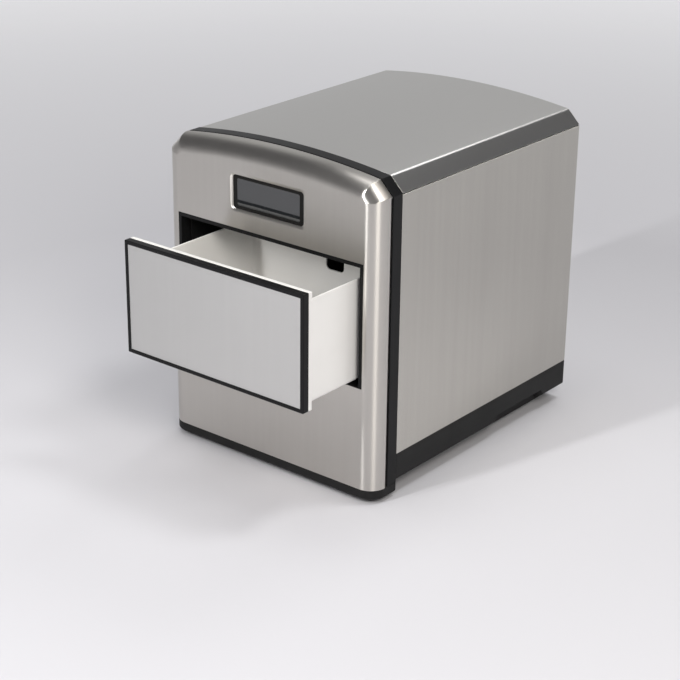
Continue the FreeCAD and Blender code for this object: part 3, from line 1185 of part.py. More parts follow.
def ice_level_arm():
    """Arm that reaches through the bin's notch and feels the height of the ice."""
    half = ARM_WIDTH / 2
    tip = ARM_Y - ARM_LENGTH
    left = NOTCH_CENTRE - half
    right = NOTCH_CENTRE + half
    bar = box(left, right, tip, ARM_Y, ARM_Z - ARM_THICKNESS / 2, ARM_Z + ARM_THICKNESS / 2)
    hub = rod((left, ARM_Y, ARM_Z), (1, 0, 0), ARM_PIN_RADIUS + ARM_HUB_WALL, ARM_WIDTH)
    paddle = box(left, right, tip, tip + ARM_PADDLE_THICKNESS, ARM_Z - ARM_PADDLE, ARM_Z)
    bore = rod((left - THROUGH, ARM_Y, ARM_Z), (1, 0, 0), ARM_PIN_RADIUS + SHAFT_CLEAR,
               ARM_WIDTH + 2 * THROUGH)
    arm = fused([bar, hub, paddle]).cut(bore)
    arm.rotate(V(0, ARM_Y, ARM_Z), V(1, 0, 0), ARM_DROOP)
    return arm


def level_arm_bracket():
    """Forked bracket on the compartment's back wall with the arm's pin."""
    half = ARM_WIDTH / 2 + ARM_CHEEK_GAP
    wide = half + ARM_CHEEK
    eye = ARM_PIN_RADIUS + 2 * ARM_HUB_WALL
    pieces = [box(NOTCH_CENTRE - wide - ARM_CHEEK, NOTCH_CENTRE + wide + ARM_CHEEK,
                  LINER_INNER_BACK - ARM_PLATE, LINER_INNER_BACK, ARM_Z - 2 * eye, ARM_Z + 2 * eye)]
    for s in (-1, 1):
        inner = NOTCH_CENTRE + s * half
        pieces.append(box(inner, inner + s * ARM_CHEEK, ARM_Y, LINER_INNER_BACK, ARM_Z - eye, ARM_Z + eye))
        pieces.append(rod((inner, ARM_Y, ARM_Z), (s, 0, 0), eye, ARM_CHEEK))
    pieces.append(rod((NOTCH_CENTRE - wide, ARM_Y, ARM_Z), (1, 0, 0), ARM_PIN_RADIUS, 2 * wide))
    return fused(pieces)


# ---------------------------------------------------------------- machine room

def stub_end(angle, lift, past):
    """A point straight out from the compressor's shell, beyond its stub by a distance."""
    a = math.radians(angle)
    reach = COMPRESSOR_RADIUS - STUB_SEAT + STUB_LENGTH + past
    return (COMPRESSOR_X + reach * math.cos(a), COMPRESSOR_Y + reach * math.sin(a), COMPRESSOR_BOTTOM + lift)


def shell_form(inset):
    """The compressor's domed shell, drawn in by an inset."""
    low = COMPRESSOR_BOTTOM + inset
    top = COMPRESSOR_TOP - inset
    form = rod((COMPRESSOR_X, COMPRESSOR_Y, low), (0, 0, 1), COMPRESSOR_RADIUS - inset, top - low)
    form = form.makeFillet(COMPRESSOR_DOME - inset, [e for e in form.Edges if e.BoundBox.ZMin > top - NEAR])
    rim = [e for e in form.Edges if e.BoundBox.ZMax < low + NEAR and e.BoundBox.XLength > NEAR]
    return form.makeFillet(COMPRESSOR_DOME / 2 - inset, rim)


def compressor():
    """Domed steel shell with its inner motor block, weld seam, mounting plate and stubs."""
    seam = rod((COMPRESSOR_X, COMPRESSOR_Y, SEAM_Z - COMPRESSOR_SEAM), (0, 0, 1),
               COMPRESSOR_RADIUS + COMPRESSOR_SEAM, 2 * COMPRESSOR_SEAM)
    reach = MOUNT_SPAN + MOUNT_MARGIN
    plate = upright_block(COMPRESSOR_X - reach, COMPRESSOR_X + reach,
                          COMPRESSOR_Y - reach, COMPRESSOR_Y + reach,
                          COMPRESSOR_BOTTOM - MOUNT_PLATE, COMPRESSOR_BOTTOM, MOUNT_MARGIN)
    plate = plate.cut([rod((x, y, BOSS_TOP), (0, 0, 1), GROMMET_NECK, GROMMET_HEIGHT + 2 * MOUNT_PLATE)
                       for x, y in mount_points()])
    stubs = []
    ports = [(SUCTION_ANGLE, SUCTION_LIFT), (DISCHARGE_ANGLE, DISCHARGE_LIFT), (CHARGE_ANGLE, CHARGE_LIFT)]
    for angle, lift in ports:
        a = math.radians(angle)
        stubs.append(rod(stub_end(angle, lift, -STUB_LENGTH), (math.cos(a), math.sin(a), 0),
                         LINE_RADIUS + STUB_WALL, STUB_LENGTH))
    core = rod((COMPRESSOR_X, COMPRESSOR_Y, COMPRESSOR_BOTTOM), (0, 0, 1), COMPRESSOR_CORE,
               COMPRESSOR_CORE_HEIGHT)
    shell = fused([shell_form(0), seam, plate] + stubs)
    return shell.cut(shell_form(COMPRESSOR_WALL).cut(core))


def compressor_grommets():
    """Rubber grommets that carry the compressor on the base's bosses."""
    under = COMPRESSOR_BOTTOM - MOUNT_PLATE
    pieces = []
    for x, y in mount_points():
        low = rod((x, y, BOSS_TOP), (0, 0, 1), GROMMET_RADIUS, GROMMET_HEIGHT)
        neck = rod((x, y, under), (0, 0, 1), GROMMET_NECK, MOUNT_PLATE)
        cap = rod((x, y, COMPRESSOR_BOTTOM), (0, 0, 1), GROMMET_CAP_RADIUS, GROMMET_CAP)
        pieces.append(fused([low, neck, cap]))
    return group(pieces)


def compressor_nuts():
    """Nuts and washers on top of the grommets."""
    z = COMPRESSOR_BOTTOM + GROMMET_CAP
    nuts = []
    for x, y in mount_points():
        washer = rod((x, y, z), (0, 0, 1), WASHER_RADIUS, WASHER)
        corners = []
        for i in range(NUT_SIDES + 1):
            a = 2 * math.pi * i / NUT_SIDES
            corners.append(V(x + NUT_RADIUS * math.cos(a), y + NUT_RADIUS * math.sin(a), z + WASHER))
        nut = Part.Face(Part.makePolygon(corners)).extrude(V(0, 0, NUT_HEIGHT))
        stud = rod((x, y, z + WASHER), (0, 0, 1), STUD_RADIUS, 2 * NUT_HEIGHT)
        nuts.append(fused([washer, nut, stud]))
    return group(nuts)


def compressor_terminal_cover():
    """Cap over the compressor's terminals and start relay."""
    x = COMPRESSOR_X - COMPRESSOR_RADIUS
    z = COMPRESSOR_BOTTOM + TERMINAL_LIFT
    block = upright_block(x - TERMINAL_DEPTH, x + 2 * TERMINAL_GAP + STUB_SEAT,
                          COMPRESSOR_Y - TERMINAL_WIDTH / 2, COMPRESSOR_Y + TERMINAL_WIDTH / 2,
                          z, z + TERMINAL_HEIGHT, STUB_SEAT / 2)
    hull = rod((COMPRESSOR_X, COMPRESSOR_Y, z - THROUGH), (0, 0, 1), COMPRESSOR_RADIUS + TERMINAL_GAP,
               TERMINAL_HEIGHT + 2 * THROUGH)
    ring = rod((COMPRESSOR_X, COMPRESSOR_Y, SEAM_Z - COMPRESSOR_SEAM - TERMINAL_GAP), (0, 0, 1),
               COMPRESSOR_RADIUS + COMPRESSOR_SEAM + TERMINAL_GAP, 2 * (COMPRESSOR_SEAM + TERMINAL_GAP))
    return block.cut([hull, ring])


def condenser_rows():
    """Heights of the condenser's tube passes, from the lowest up."""
    low = CONDENSER_BOTTOM + CONDENSER_EDGE
    step = (CONDENSER_HEIGHT - 2 * CONDENSER_EDGE) / (CONDENSER_PASSES - 1)
    return [low + step * i for i in range(CONDENSER_PASSES)]


def condenser_inlet():
    """Top end of the condenser tube, where hot gas enters."""
    x = CONDENSER_LEFT
    if CONDENSER_PASSES % 2 == 0:
        x = CONDENSER_RIGHT
    return (x, CONDENSER_Y, CONDENSER_TOP + CONDENSER_TUBE)


def condenser_tube():
    """Serpentine tube through the fins."""
    heights = condenser_rows()
    path = [(CONDENSER_RIGHT + LINE_OFFSET, CONDENSER_Y, heights[0])]
    for i, z in enumerate(heights):
        end = CONDENSER_LEFT if i % 2 == 0 else CONDENSER_RIGHT
        path.append((end, CONDENSER_Y, z))
        if i + 1 < len(heights):
            path.append((end, CONDENSER_Y, heights[i + 1]))
    path.append(condenser_inlet())
    return pipe(path, CONDENSER_TUBE, CONDENSER_BEND)


def condenser_fins():
    """Stack of thin fins between two end plates, with holes for the tube."""
    bores = [rod((CONDENSER_LEFT, CONDENSER_Y, z), (1, 0, 0), CONDENSER_TUBE + FIN_CLEAR, CONDENSER_WIDTH)
             for z in condenser_rows()]
    first = CONDENSER_LEFT + FIN_INSET
    span = CONDENSER_WIDTH - 2 * FIN_INSET
    count = int(span // FIN_PITCH)
    plates = []
    for i in range(count + 1):
        x = first + i * span / count
        if i in (0, count):
            thick = FIN_END
            low = BASE_FLOOR
        else:
            thick = FIN
            low = CONDENSER_BOTTOM
        plate = box(x - thick / 2, x + thick / 2, CONDENSER_FRONT, CONDENSER_BACK, low, CONDENSER_TOP)
        plates.append(plate.cut(bores))
    return group(plates)


def fan_shroud():
    """Plate and collar that lead the fan's air through the condenser."""
    back = SHROUD_Y + SHROUD
    plate = box(CONDENSER_LEFT + SHROUD, CONDENSER_RIGHT - SHROUD, SHROUD_Y, back,
                CONDENSER_BOTTOM, CONDENSER_TOP)
    legs = []
    for x in (CONDENSER_LEFT + SHROUD_LEG, CONDENSER_RIGHT - 2 * SHROUD_LEG):
        legs.append(box(x, x + SHROUD_LEG, SHROUD_Y, back, BASE_FLOOR, CONDENSER_BOTTOM + THROUGH))
    front = SHROUD_Y - SHROUD_COLLAR
    bore = FAN_RADIUS + FAN_TIP_GAP
    collar = rod((FAN_X, front, FAN_Z), (0, 1, 0), bore + SHROUD, SHROUD_COLLAR + SHROUD)
    hole = rod((FAN_X, front - THROUGH, FAN_Z), (0, 1, 0), bore, SHROUD_COLLAR + SHROUD + 2 * THROUGH)
    return fused([plate, collar] + legs).cut(hole)


def fan_blade():
    """Five-bladed axial fan pressed on the motor's shaft."""
    hub = rod((FAN_X, FAN_Y, FAN_Z), (0, 1, 0), FAN_HUB, FAN_DEPTH)
    sweep = rod((FAN_X, FAN_Y, FAN_Z), (0, 1, 0), FAN_RADIUS, FAN_DEPTH)
    mid = FAN_Y + FAN_DEPTH / 2
    blades = []
    for i in range(FAN_BLADES):
        blade = box(FAN_X - FAN_CHORD / 2, FAN_X + FAN_CHORD / 2, mid - FAN_BLADE / 2, mid + FAN_BLADE / 2,
                    FAN_Z + FAN_HUB / 2, FAN_Z + FAN_RADIUS + FAN_TIP_GAP)
        blade.rotate(V(FAN_X, mid, FAN_Z), V(0, 0, 1), FAN_PITCH)
        blade.rotate(V(FAN_X, mid, FAN_Z), V(0, 1, 0), 360 * i / FAN_BLADES)
        blades.append(blade.common(sweep))
    bore = rod((FAN_X, FAN_Y - THROUGH, FAN_Z), (0, 1, 0), FAN_SHAFT, FAN_DEPTH)
    return fused([hub] + blades).cut(bore)


def fan_shaft():
    """Rotor shaft that carries the fan and runs in the motor."""
    start = FAN_NOSE - FAN_MOTOR_LENGTH / 2
    return rod((FAN_X, start, FAN_Z), (0, 1, 0), FAN_SHAFT, FAN_Y + FAN_DEPTH - THROUGH - start)


def fan_motor():
    """Small motor in front of the fan."""
    back = FAN_NOSE - FAN_MOTOR_GAP
    body = rod((FAN_X, back - FAN_MOTOR_LENGTH, FAN_Z), (0, 1, 0), FAN_MOTOR_RADIUS, FAN_MOTOR_LENGTH)
    body = body.makeFillet(FAN_MOTOR_GAP, [e for e in body.Edges if e.BoundBox.YLength < NEAR])
    nose = rod((FAN_X, back - FAN_MOTOR_GAP, FAN_Z), (0, 1, 0), FAN_MOTOR_NOSE, 2 * FAN_MOTOR_GAP)
    start = FAN_NOSE - FAN_MOTOR_LENGTH / 2
    bore = rod((FAN_X, start - THROUGH, FAN_Z), (0, 1, 0), FAN_SHAFT + SHAFT_CLEAR, FAN_MOTOR_LENGTH)
    return fused([body, nose]).cut(bore)


def fan_motor_bracket():
    """Sheet bracket that stands on the base floor and holds the fan motor."""
    y = FAN_NOSE - FAN_MOTOR_GAP - FAN_MOTOR_LENGTH / 2
    front = y - BRACKET_DEPTH / 2
    back = y + BRACKET_DEPTH / 2
    half = BRACKET_WIDTH / 2
    clasp = FAN_MOTOR_RADIUS + BRACKET_WALL
    post = box(FAN_X - half, FAN_X + half, front, back, BASE_FLOOR, FAN_Z)
    hollow = box(FAN_X - half + BRACKET_WALL, FAN_X + half - BRACKET_WALL, front - THROUGH, back + THROUGH,
                 BASE_FLOOR + BRACKET_WALL, FAN_Z - clasp)
    foot = box(FAN_X - half - BRACKET_FOOT, FAN_X + half + BRACKET_FOOT, front, back,
               BASE_FLOOR, BASE_FLOOR + BRACKET_WALL)
    ring = rod((FAN_X, front, FAN_Z), (0, 1, 0), clasp, BRACKET_DEPTH)
    seat = rod((FAN_X, front - THROUGH, FAN_Z), (0, 1, 0), FAN_MOTOR_RADIUS, BRACKET_DEPTH + 2 * THROUGH)
    return fused([post.cut(hollow), foot, ring]).cut(seat)


def filter_drier():
    """Copper filter drier, drawn down at both ends."""
    barrel = rod((DRIER_X, DRIER_Y, DRIER_BOTTOM), (0, 0, 1), DRIER_RADIUS, DRIER_LENGTH)
    inlet = V(DRIER_X, DRIER_Y, DRIER_BOTTOM - DRIER_TAPER)
    low = Part.makeCone(LINE_RADIUS, DRIER_RADIUS, DRIER_TAPER, inlet)
    high = Part.makeCone(DRIER_RADIUS, LINE_RADIUS, DRIER_TAPER, V(DRIER_X, DRIER_Y, DRIER_TOP))
    return fused([barrel, low, high])


def liquid_line():
    """Tube from the condenser's outlet up into the filter drier."""
    z = condenser_rows()[0]
    path = [(CONDENSER_RIGHT + LINE_OFFSET, CONDENSER_Y, z), (DRIER_X, CONDENSER_Y, z)]
    path += [(DRIER_X, DRIER_Y, z + 2 * LINE_OFFSET), (DRIER_X, DRIER_Y, DRIER_BOTTOM - DRIER_TAPER)]
    return pipe(path, LINE_RADIUS, LINE_BEND / 2)


def capillary_tube():
    """Thin tube from the drier to the evaporator's inlet."""
    end_x = EVAPORATOR_ENDS + EVAPORATOR_TUBE - CAPILLARY_RADIUS
    turn_y = TUBE_END + 4 * LINE_OFFSET
    low = CONDENSER_TOP
    path = [(DRIER_X, DRIER_Y, DRIER_TOP + DRIER_TAPER), (DRIER_X, DRIER_Y, low), (DRIER_X, turn_y, low)]
    path += [(DRIER_X, turn_y, TUBE_Z), (end_x, turn_y, TUBE_Z), (end_x, TUBE_END, TUBE_Z)]
    return pipe(path, CAPILLARY_RADIUS, LINE_BEND / 2)


def suction_line():
    """Return tube from the evaporator to the compressor."""
    turn_y = TUBE_END + 5 * LINE_OFFSET
    x, y, z = stub_end(SUCTION_ANGLE, SUCTION_LIFT, 1.5 * LINE_BEND)
    path = [stub_end(SUCTION_ANGLE, SUCTION_LIFT, 0), (x, y, z), (x, y, VALVE_Z)]
    path += [(-EVAPORATOR_ENDS, turn_y, VALVE_Z + 3 * LINE_OFFSET), (-EVAPORATOR_ENDS, turn_y, TUBE_Z)]
    path.append((-EVAPORATOR_ENDS, TUBE_END, TUBE_Z))
    return pipe(path, LINE_RADIUS, LINE_BEND)


def hot_gas_valve():
    """Solenoid valve that sends hot gas to the evaporator to free the ice."""
    half = VALVE_BODY / 2
    body = box(VALVE_X - half, VALVE_X + half, BULKHEAD_BACK, BULKHEAD_BACK + VALVE_BODY,
               VALVE_Z - half, VALVE_Z + half)
    coil = rod((VALVE_X, VALVE_Y, VALVE_Z), (0, 0, 1), VALVE_COIL_RADIUS, half + VALVE_COIL_HEIGHT)
    return fused([body, coil])


def discharge_line():
    """Tube from the compressor to the condenser, with a brazed branch to the valve."""
    x, y, z = stub_end(DISCHARGE_ANGLE, DISCHARGE_LIFT, 1.5 * LINE_BEND)
    top = CONDENSER_TOP + DISCHARGE_RISE
    inlet = condenser_inlet()
    main = [stub_end(DISCHARGE_ANGLE, DISCHARGE_LIFT, 0), (x, y, z), (x, y, top)]
    main += [(inlet[0], inlet[1], top), inlet]
    tee = top - TEE_DROP
    turn_y = COMPRESSOR_Y - 3 * LINE_OFFSET
    side_x = VALVE_X + VALVE_BODY / 2
    loop_x = side_x + 2 * LINE_OFFSET
    branch = [(x, y, tee), (x, turn_y, tee), (x, turn_y, VALVE_Z), (loop_x, turn_y, VALVE_Z)]
    branch += [(loop_x, VALVE_Y, VALVE_Z), (side_x, VALVE_Y, VALVE_Z)]
    return fused([pipe(main, LINE_RADIUS, LINE_BEND), pipe(branch, HOT_GAS_RADIUS, LINE_BEND)])


def hot_gas_line():
    """Tube from the valve to the evaporator's inlet."""
    side_x = VALVE_X - VALVE_BODY / 2
    end_x = EVAPORATOR_ENDS - EVAPORATOR_TUBE + HOT_GAS_RADIUS
    turn_y = TUBE_END + 2 * LINE_OFFSET
    mid_x = side_x - 2 * LINE_OFFSET
    path = [(side_x, VALVE_Y, VALVE_Z), (mid_x, VALVE_Y, VALVE_Z), (mid_x, turn_y, VALVE_Z)]
    path += [(end_x, turn_y, VALVE_Z), (end_x, turn_y, TUBE_Z), (end_x, TUBE_END, TUBE_Z)]
    return pipe(path, HOT_GAS_RADIUS, LINE_BEND)


def electrics_box():
    """Open plastic box for the control board on the left side panel."""
    x0 = -HALF + SKIN
    front = BOX_BACK - BOX_DEPTH
    top = BOX_BOTTOM + BOX_HEIGHT
    outer = box(x0, x0 + BOX_WIDTH, front, BOX_BACK, BOX_BOTTOM, top)
    inner = box(x0 + BOX_WALL, x0 + BOX_WIDTH + THROUGH, front + BOX_WALL, BOX_BACK - BOX_WALL,
                BOX_BOTTOM + BOX_WALL, top - BOX_WALL)
    return outer.cut(inner)


def control_board():
    """Main board on four posts, with a transformer, relays and capacitors."""
    x = -HALF + SKIN + BOX_WALL
    front = BOX_BACK - BOX_DEPTH
    top = BOX_BOTTOM + BOX_HEIGHT
    edge = BOX_WALL + BOARD_CLEAR
    card_x = x + BOARD_STAND
    face = card_x + BOARD
    parts = [box(card_x, face, front + edge, BOX_BACK - edge, BOX_BOTTOM + edge, top - edge)]
    for y in (front + POST_INSET, BOX_BACK - POST_INSET):
        for z in (BOX_BOTTOM + POST_INSET, top - POST_INSET):
            parts.append(rod((x, y, z), (1, 0, 0), POST_RADIUS, BOARD_STAND + BOARD / 2))
    low = BOX_BOTTOM + PARTS_EDGE
    coil_y = front + PARTS_EDGE
    seat = card_x + BOARD / 2
    parts.append(box(seat, face + COIL_DEPTH, coil_y, coil_y + COIL_WIDTH, low, low + COIL_HEIGHT))
    for i in range(RELAY_COUNT):
        y = front + RELAY_START + i * RELAY_PITCH
        parts.append(box(seat, face + RELAY_DEPTH, y, y + RELAY_WIDTH, low, low + RELAY_HEIGHT))
        parts.append(rod((seat, y + RELAY_WIDTH / 2, low + CAN_LIFT), (1, 0, 0), CAN_RADIUS, CAN_LENGTH))
    return fused(parts)


def power_inlet():
    """Appliance inlet with three contacts, snapped into the rear panel."""
    body = box(INLET_X - INLET_WIDTH / 2, INLET_X + INLET_WIDTH / 2,
               REAR_FACE - INLET_DEPTH, REAR_FACE + SKIN / 2,
               INLET_Z - INLET_HEIGHT / 2, INLET_Z + INLET_HEIGHT / 2)
    flange = rounded_block(INLET_WIDTH + 2 * INLET_FLANGE, INLET_HEIGHT + INLET_FLANGE, INLET_WALL,
                           INLET_X, INLET_Z, REAR_FACE, REAR_FACE + INLET_FLANGE_THICKNESS)
    floor = REAR_FACE - INLET_WELL
    well = rounded_block(INLET_WIDTH - 2 * INLET_WALL, INLET_HEIGHT - 2 * INLET_WALL, INLET_WALL,
                         INLET_X, INLET_Z, floor, REAR_FACE + INLET_FLANGE_THICKNESS + THROUGH)
    contacts = []
    for i in (-1, 0, 1):
        x = INLET_X + i * CONTACT_SPREAD
        z = INLET_Z + (1 - 2 * abs(i)) * CONTACT
        contacts.append(box(x - CONTACT / 2, x + CONTACT / 2, floor - SKIN, REAR_FACE - INLET_WALL,
                            z - CONTACT_HEIGHT / 2, z + CONTACT_HEIGHT / 2))
    return fused([fused([body, flange]).cut(well)] + contacts)


SUB_PARTS = {
    "front_panel": front_panel,
    "trim_strip": trim_strip,
    "top_cover": top_cover,
    "left_side_panel": lambda: side_panel(-1),
    "right_side_panel": lambda: side_panel(1),
    "rear_panel": rear_panel,
    "rear_screws": rear_screws,
    "base_tray": base_tray,
    "front_base_strip": front_base_strip,
    "rubber_feet": rubber_feet,
    "window_bezel": window_bezel,
    "display_window": display_window,
    "display_board": display_board,
    "drawer_opening_frame": drawer_opening_frame,
    "drawer_front_plate": drawer_front_plate,
    "drawer_front_frame": drawer_front_frame,
    "drawer_front_backing": drawer_front_backing,
    "drawer_bin": drawer_bin,
    "compartment_liner": compartment_liner,
    "compartment_insulation": compartment_insulation,
    "bulkhead": bulkhead,
    "water_reservoir": water_reservoir,
    "water_pump": water_pump,
    "pump_hose": pump_hose,
    "float_stem": float_stem,
    "water_float": water_float,
    "drain_hose": drain_hose,
    "drain_outlet": drain_outlet,
    "drain_cap": drain_cap,
    "freezing_fingers": freezing_fingers,
    "evaporator_plate": evaporator_plate,
    "evaporator_tube": evaporator_tube,
    "evaporator_hood": evaporator_hood,
    "water_tray": water_tray,
    "tray_shaft": tray_shaft,
    "tray_motor": tray_motor,
    "ice_chute": ice_chute,
    "ice_level_arm": ice_level_arm,
    "level_arm_bracket": level_arm_bracket,
    "compressor": compressor,
    "compressor_grommets": compressor_grommets,
    "compressor_nuts": compressor_nuts,
    "compressor_terminal_cover": compressor_terminal_cover,
    "condenser_tube": condenser_tube,
    "condenser_fins": condenser_fins,
    "fan_shroud": fan_shroud,
    "fan_blade": fan_blade,
    "fan_shaft": fan_shaft,
    "fan_motor": fan_motor,
    "fan_motor_bracket": fan_motor_bracket,
    "filter_drier": filter_drier,
    "liquid_line": liquid_line,
    "capillary_tube": capillary_tube,
    "suction_line": suction_line,
    "hot_gas_valve": hot_gas_valve,
    "hot_gas_line": hot_gas_line,
    "discharge_line": discharge_line,
    "electrics_box": electrics_box,
    "control_board": control_board,
    "power_inlet": power_inlet,
}

os.makedirs("parts", exist_ok=True)
for node, build in SUB_PARTS.items():
    save(node, build())
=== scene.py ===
import json
import logging
import math
from dataclasses import dataclass
from enum import Enum
from typing import Iterable, Sequence

import bmesh
import bpy
from mathutils import Matrix, Vector


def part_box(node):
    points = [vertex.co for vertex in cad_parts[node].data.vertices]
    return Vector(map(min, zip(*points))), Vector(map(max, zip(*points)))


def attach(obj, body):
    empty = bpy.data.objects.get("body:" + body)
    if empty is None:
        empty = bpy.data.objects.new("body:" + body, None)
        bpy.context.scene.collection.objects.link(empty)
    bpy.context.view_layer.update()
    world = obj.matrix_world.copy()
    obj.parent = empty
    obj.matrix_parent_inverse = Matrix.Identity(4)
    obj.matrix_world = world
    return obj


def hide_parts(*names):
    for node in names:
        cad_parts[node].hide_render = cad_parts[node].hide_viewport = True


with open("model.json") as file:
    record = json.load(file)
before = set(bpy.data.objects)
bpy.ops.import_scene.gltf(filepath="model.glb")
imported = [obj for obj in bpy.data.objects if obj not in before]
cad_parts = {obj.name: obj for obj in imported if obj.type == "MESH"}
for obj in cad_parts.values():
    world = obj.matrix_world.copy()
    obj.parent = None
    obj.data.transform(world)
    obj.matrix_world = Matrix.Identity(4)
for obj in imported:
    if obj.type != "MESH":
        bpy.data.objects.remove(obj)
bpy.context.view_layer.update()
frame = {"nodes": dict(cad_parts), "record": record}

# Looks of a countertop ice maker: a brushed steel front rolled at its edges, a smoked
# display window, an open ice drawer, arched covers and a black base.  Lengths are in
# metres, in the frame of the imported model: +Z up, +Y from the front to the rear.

LOG = logging.getLogger("ice_maker")
Color = tuple[float, float, float]
Socket = bpy.types.NodeSocket
Piece = bpy.types.Object
Mesh = bmesh.types.BMesh
Edge = bmesh.types.BMEdge
Corner = bmesh.types.BMVert
WELD = 1e-6                # distance under which two corners are one
NEAR = 20 * WELD           # distance under which a corner or a face is at a worked-out place
SAME_SHEET = 0.001         # distance from an outline's plane within which a sheet is opened
SQUARE_ON = 0.99           # cosine from which a face or an edge points along an axis
FLAT_ANGLE = 0.3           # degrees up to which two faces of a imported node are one
BEND_ANGLE = 15.0          # degrees from which two faces make a bend
BEND_AREA = 0.0015         # area that the faces on both sides of a bend have at least


class Grain(Enum):
    """Direction in which a steel sheet is brushed."""

    UPRIGHT = (0.0, 0.0, 1.0)
    LENGTHWISE = (0.0, 1.0, 0.0)
    CROSSWISE = (1.0, 0.0, 0.0)


# ---------------------------------------------------------------- finishes

class Recipe:
    """A node material, built up step by step on one Principled shader."""

    def __init__(self, name: str, constants: dict[str, object]) -> None:
        """Starts a material.

        Args:
            name: The material's name.
            constants: Values for the shader's own sockets, by socket name.
        """
        self.material = bpy.data.materials.new(name)
        self.material.use_nodes = True
        self.tree = self.material.node_tree
        self.shader = self.tree.nodes["Principled BSDF"]
        for socket, value in constants.items():
            self.shader.inputs[socket].default_value = value
        self.place = self.node("ShaderNodeTexCoord").outputs["Object"]

    def node(self, kind: str) -> bpy.types.Node:
        """Adds a node of one kind."""
        return self.tree.nodes.new(kind)

    def feed(self, source: Socket, target: Socket) -> None:
        """Links one socket to another."""
        self.tree.links.new(source, target)

    def to_shader(self, source: Socket, socket: str) -> None:
        """Links a socket to one of the shader's."""
        self.feed(source, self.shader.inputs[socket])

    def stretched(self, scale: Sequence[float]) -> Socket:
        """Object coordinates, multiplied by a scale along each axis.

        Args:
            scale: How many features fit into a metre along X, Y and Z.

        Returns:
            The scaled coordinates.
        """
        mapping = self.node("ShaderNodeMapping")
        mapping.inputs["Scale"].default_value = scale
        self.feed(self.place, mapping.inputs["Vector"])
        return mapping.outputs["Vector"]

    def noise(self, scale: Sequence[float], detail: float = 3.0) -> Socket:
        """Soft random variation.

        Args:
            scale: How many features fit into a metre along X, Y and Z.
            detail: How many finer layers are added.

        Returns:
            A value between 0 and 1.
        """
        noise = self.node("ShaderNodeTexNoise")
        noise.inputs["Scale"].default_value = 1.0
        noise.inputs["Detail"].default_value = detail
        self.feed(self.stretched(scale), noise.inputs["Vector"])
        return noise.outputs[0]

    def cells(self, scale: float) -> Socket:
        """Random value per cell of a mosaic, as of zinc crystals or foam beads.

        Args:
            scale: How many cells fit into a metre.

        Returns:
            A value between 0 and 1.
        """
        mosaic = self.node("ShaderNodeTexVoronoi")
        mosaic.inputs["Scale"].default_value = scale
        self.feed(self.place, mosaic.inputs["Vector"])
        split = self.node("ShaderNodeSeparateColor")
        self.feed(mosaic.outputs["Color"], split.inputs[0])
        return split.outputs[0]

    def spread(self, value: Socket, low: float, high: float, start: float = 0.3, end: float = 0.7) -> Socket:
        """Maps a value's middle range to another range.

        Args:
            value: The value to map.
            low: Result at start.
            high: Result at end.
            start: Lower end of the range that is mapped.
            end: Upper end of the range that is mapped.

        Returns:
            The mapped value.
        """
        spread = self.node("ShaderNodeMapRange")
        for socket, number in zip(("From Min", "From Max", "To Min", "To Max"), (start, end, low, high)):
            spread.inputs[socket].default_value = number
        self.feed(value, spread.inputs["Value"])
        return spread.outputs["Result"]

    def compute(self, operation: str, first: Socket, second: Socket | float) -> Socket:
        """One step of arithmetic on values.

        Args:
            operation: Name of the operation.
            first: First operand.
            second: Second operand, a socket or a number.

        Returns:
            The result.
        """
        step = self.node("ShaderNodeMath")
        step.operation = operation
        self.feed(first, step.inputs[0])
        if isinstance(second, Socket):
            self.feed(second, step.inputs[1])
        else:
            step.inputs[1].default_value = second
        return step.outputs[0]

    def tint(self, factor: Socket, first: Color, second: Color) -> Socket:
        """Blends two colours.

        Args:
            factor: 0 for the first colour, 1 for the second.
            first: The first colour.
            second: The second colour.

        Returns:
            The blended colour.
        """
        mix = self.node("ShaderNodeMix")
        mix.data_type = "RGBA"
        colors = [socket for socket in mix.inputs if socket.type == "RGBA"]
        self.feed(factor, mix.inputs[0])
        colors[0].default_value = (*first, 1.0)
        colors[1].default_value = (*second, 1.0)
        return next(socket for socket in mix.outputs if socket.type == "RGBA")

    def bump(self, height: Socket, strength: float, distance: float) -> None:
        """Roughens the surface.

        Args:
            height: Height of the relief, 0 to 1.
            strength: How strongly it shows.
            distance: Depth of the relief in metres.
        """
        bump = self.node("ShaderNodeBump")
        bump.inputs["Strength"].default_value = strength
        bump.inputs["Distance"].default_value = distance
        self.feed(height, bump.inputs["Height"])
        self.to_shader(bump.outputs["Normal"], "Normal")


def shaded(color: Color, factor: float) -> Color:
    """A colour made darker or lighter by a factor, kept below white."""
    return tuple(min(1.0, part * factor) for part in color)


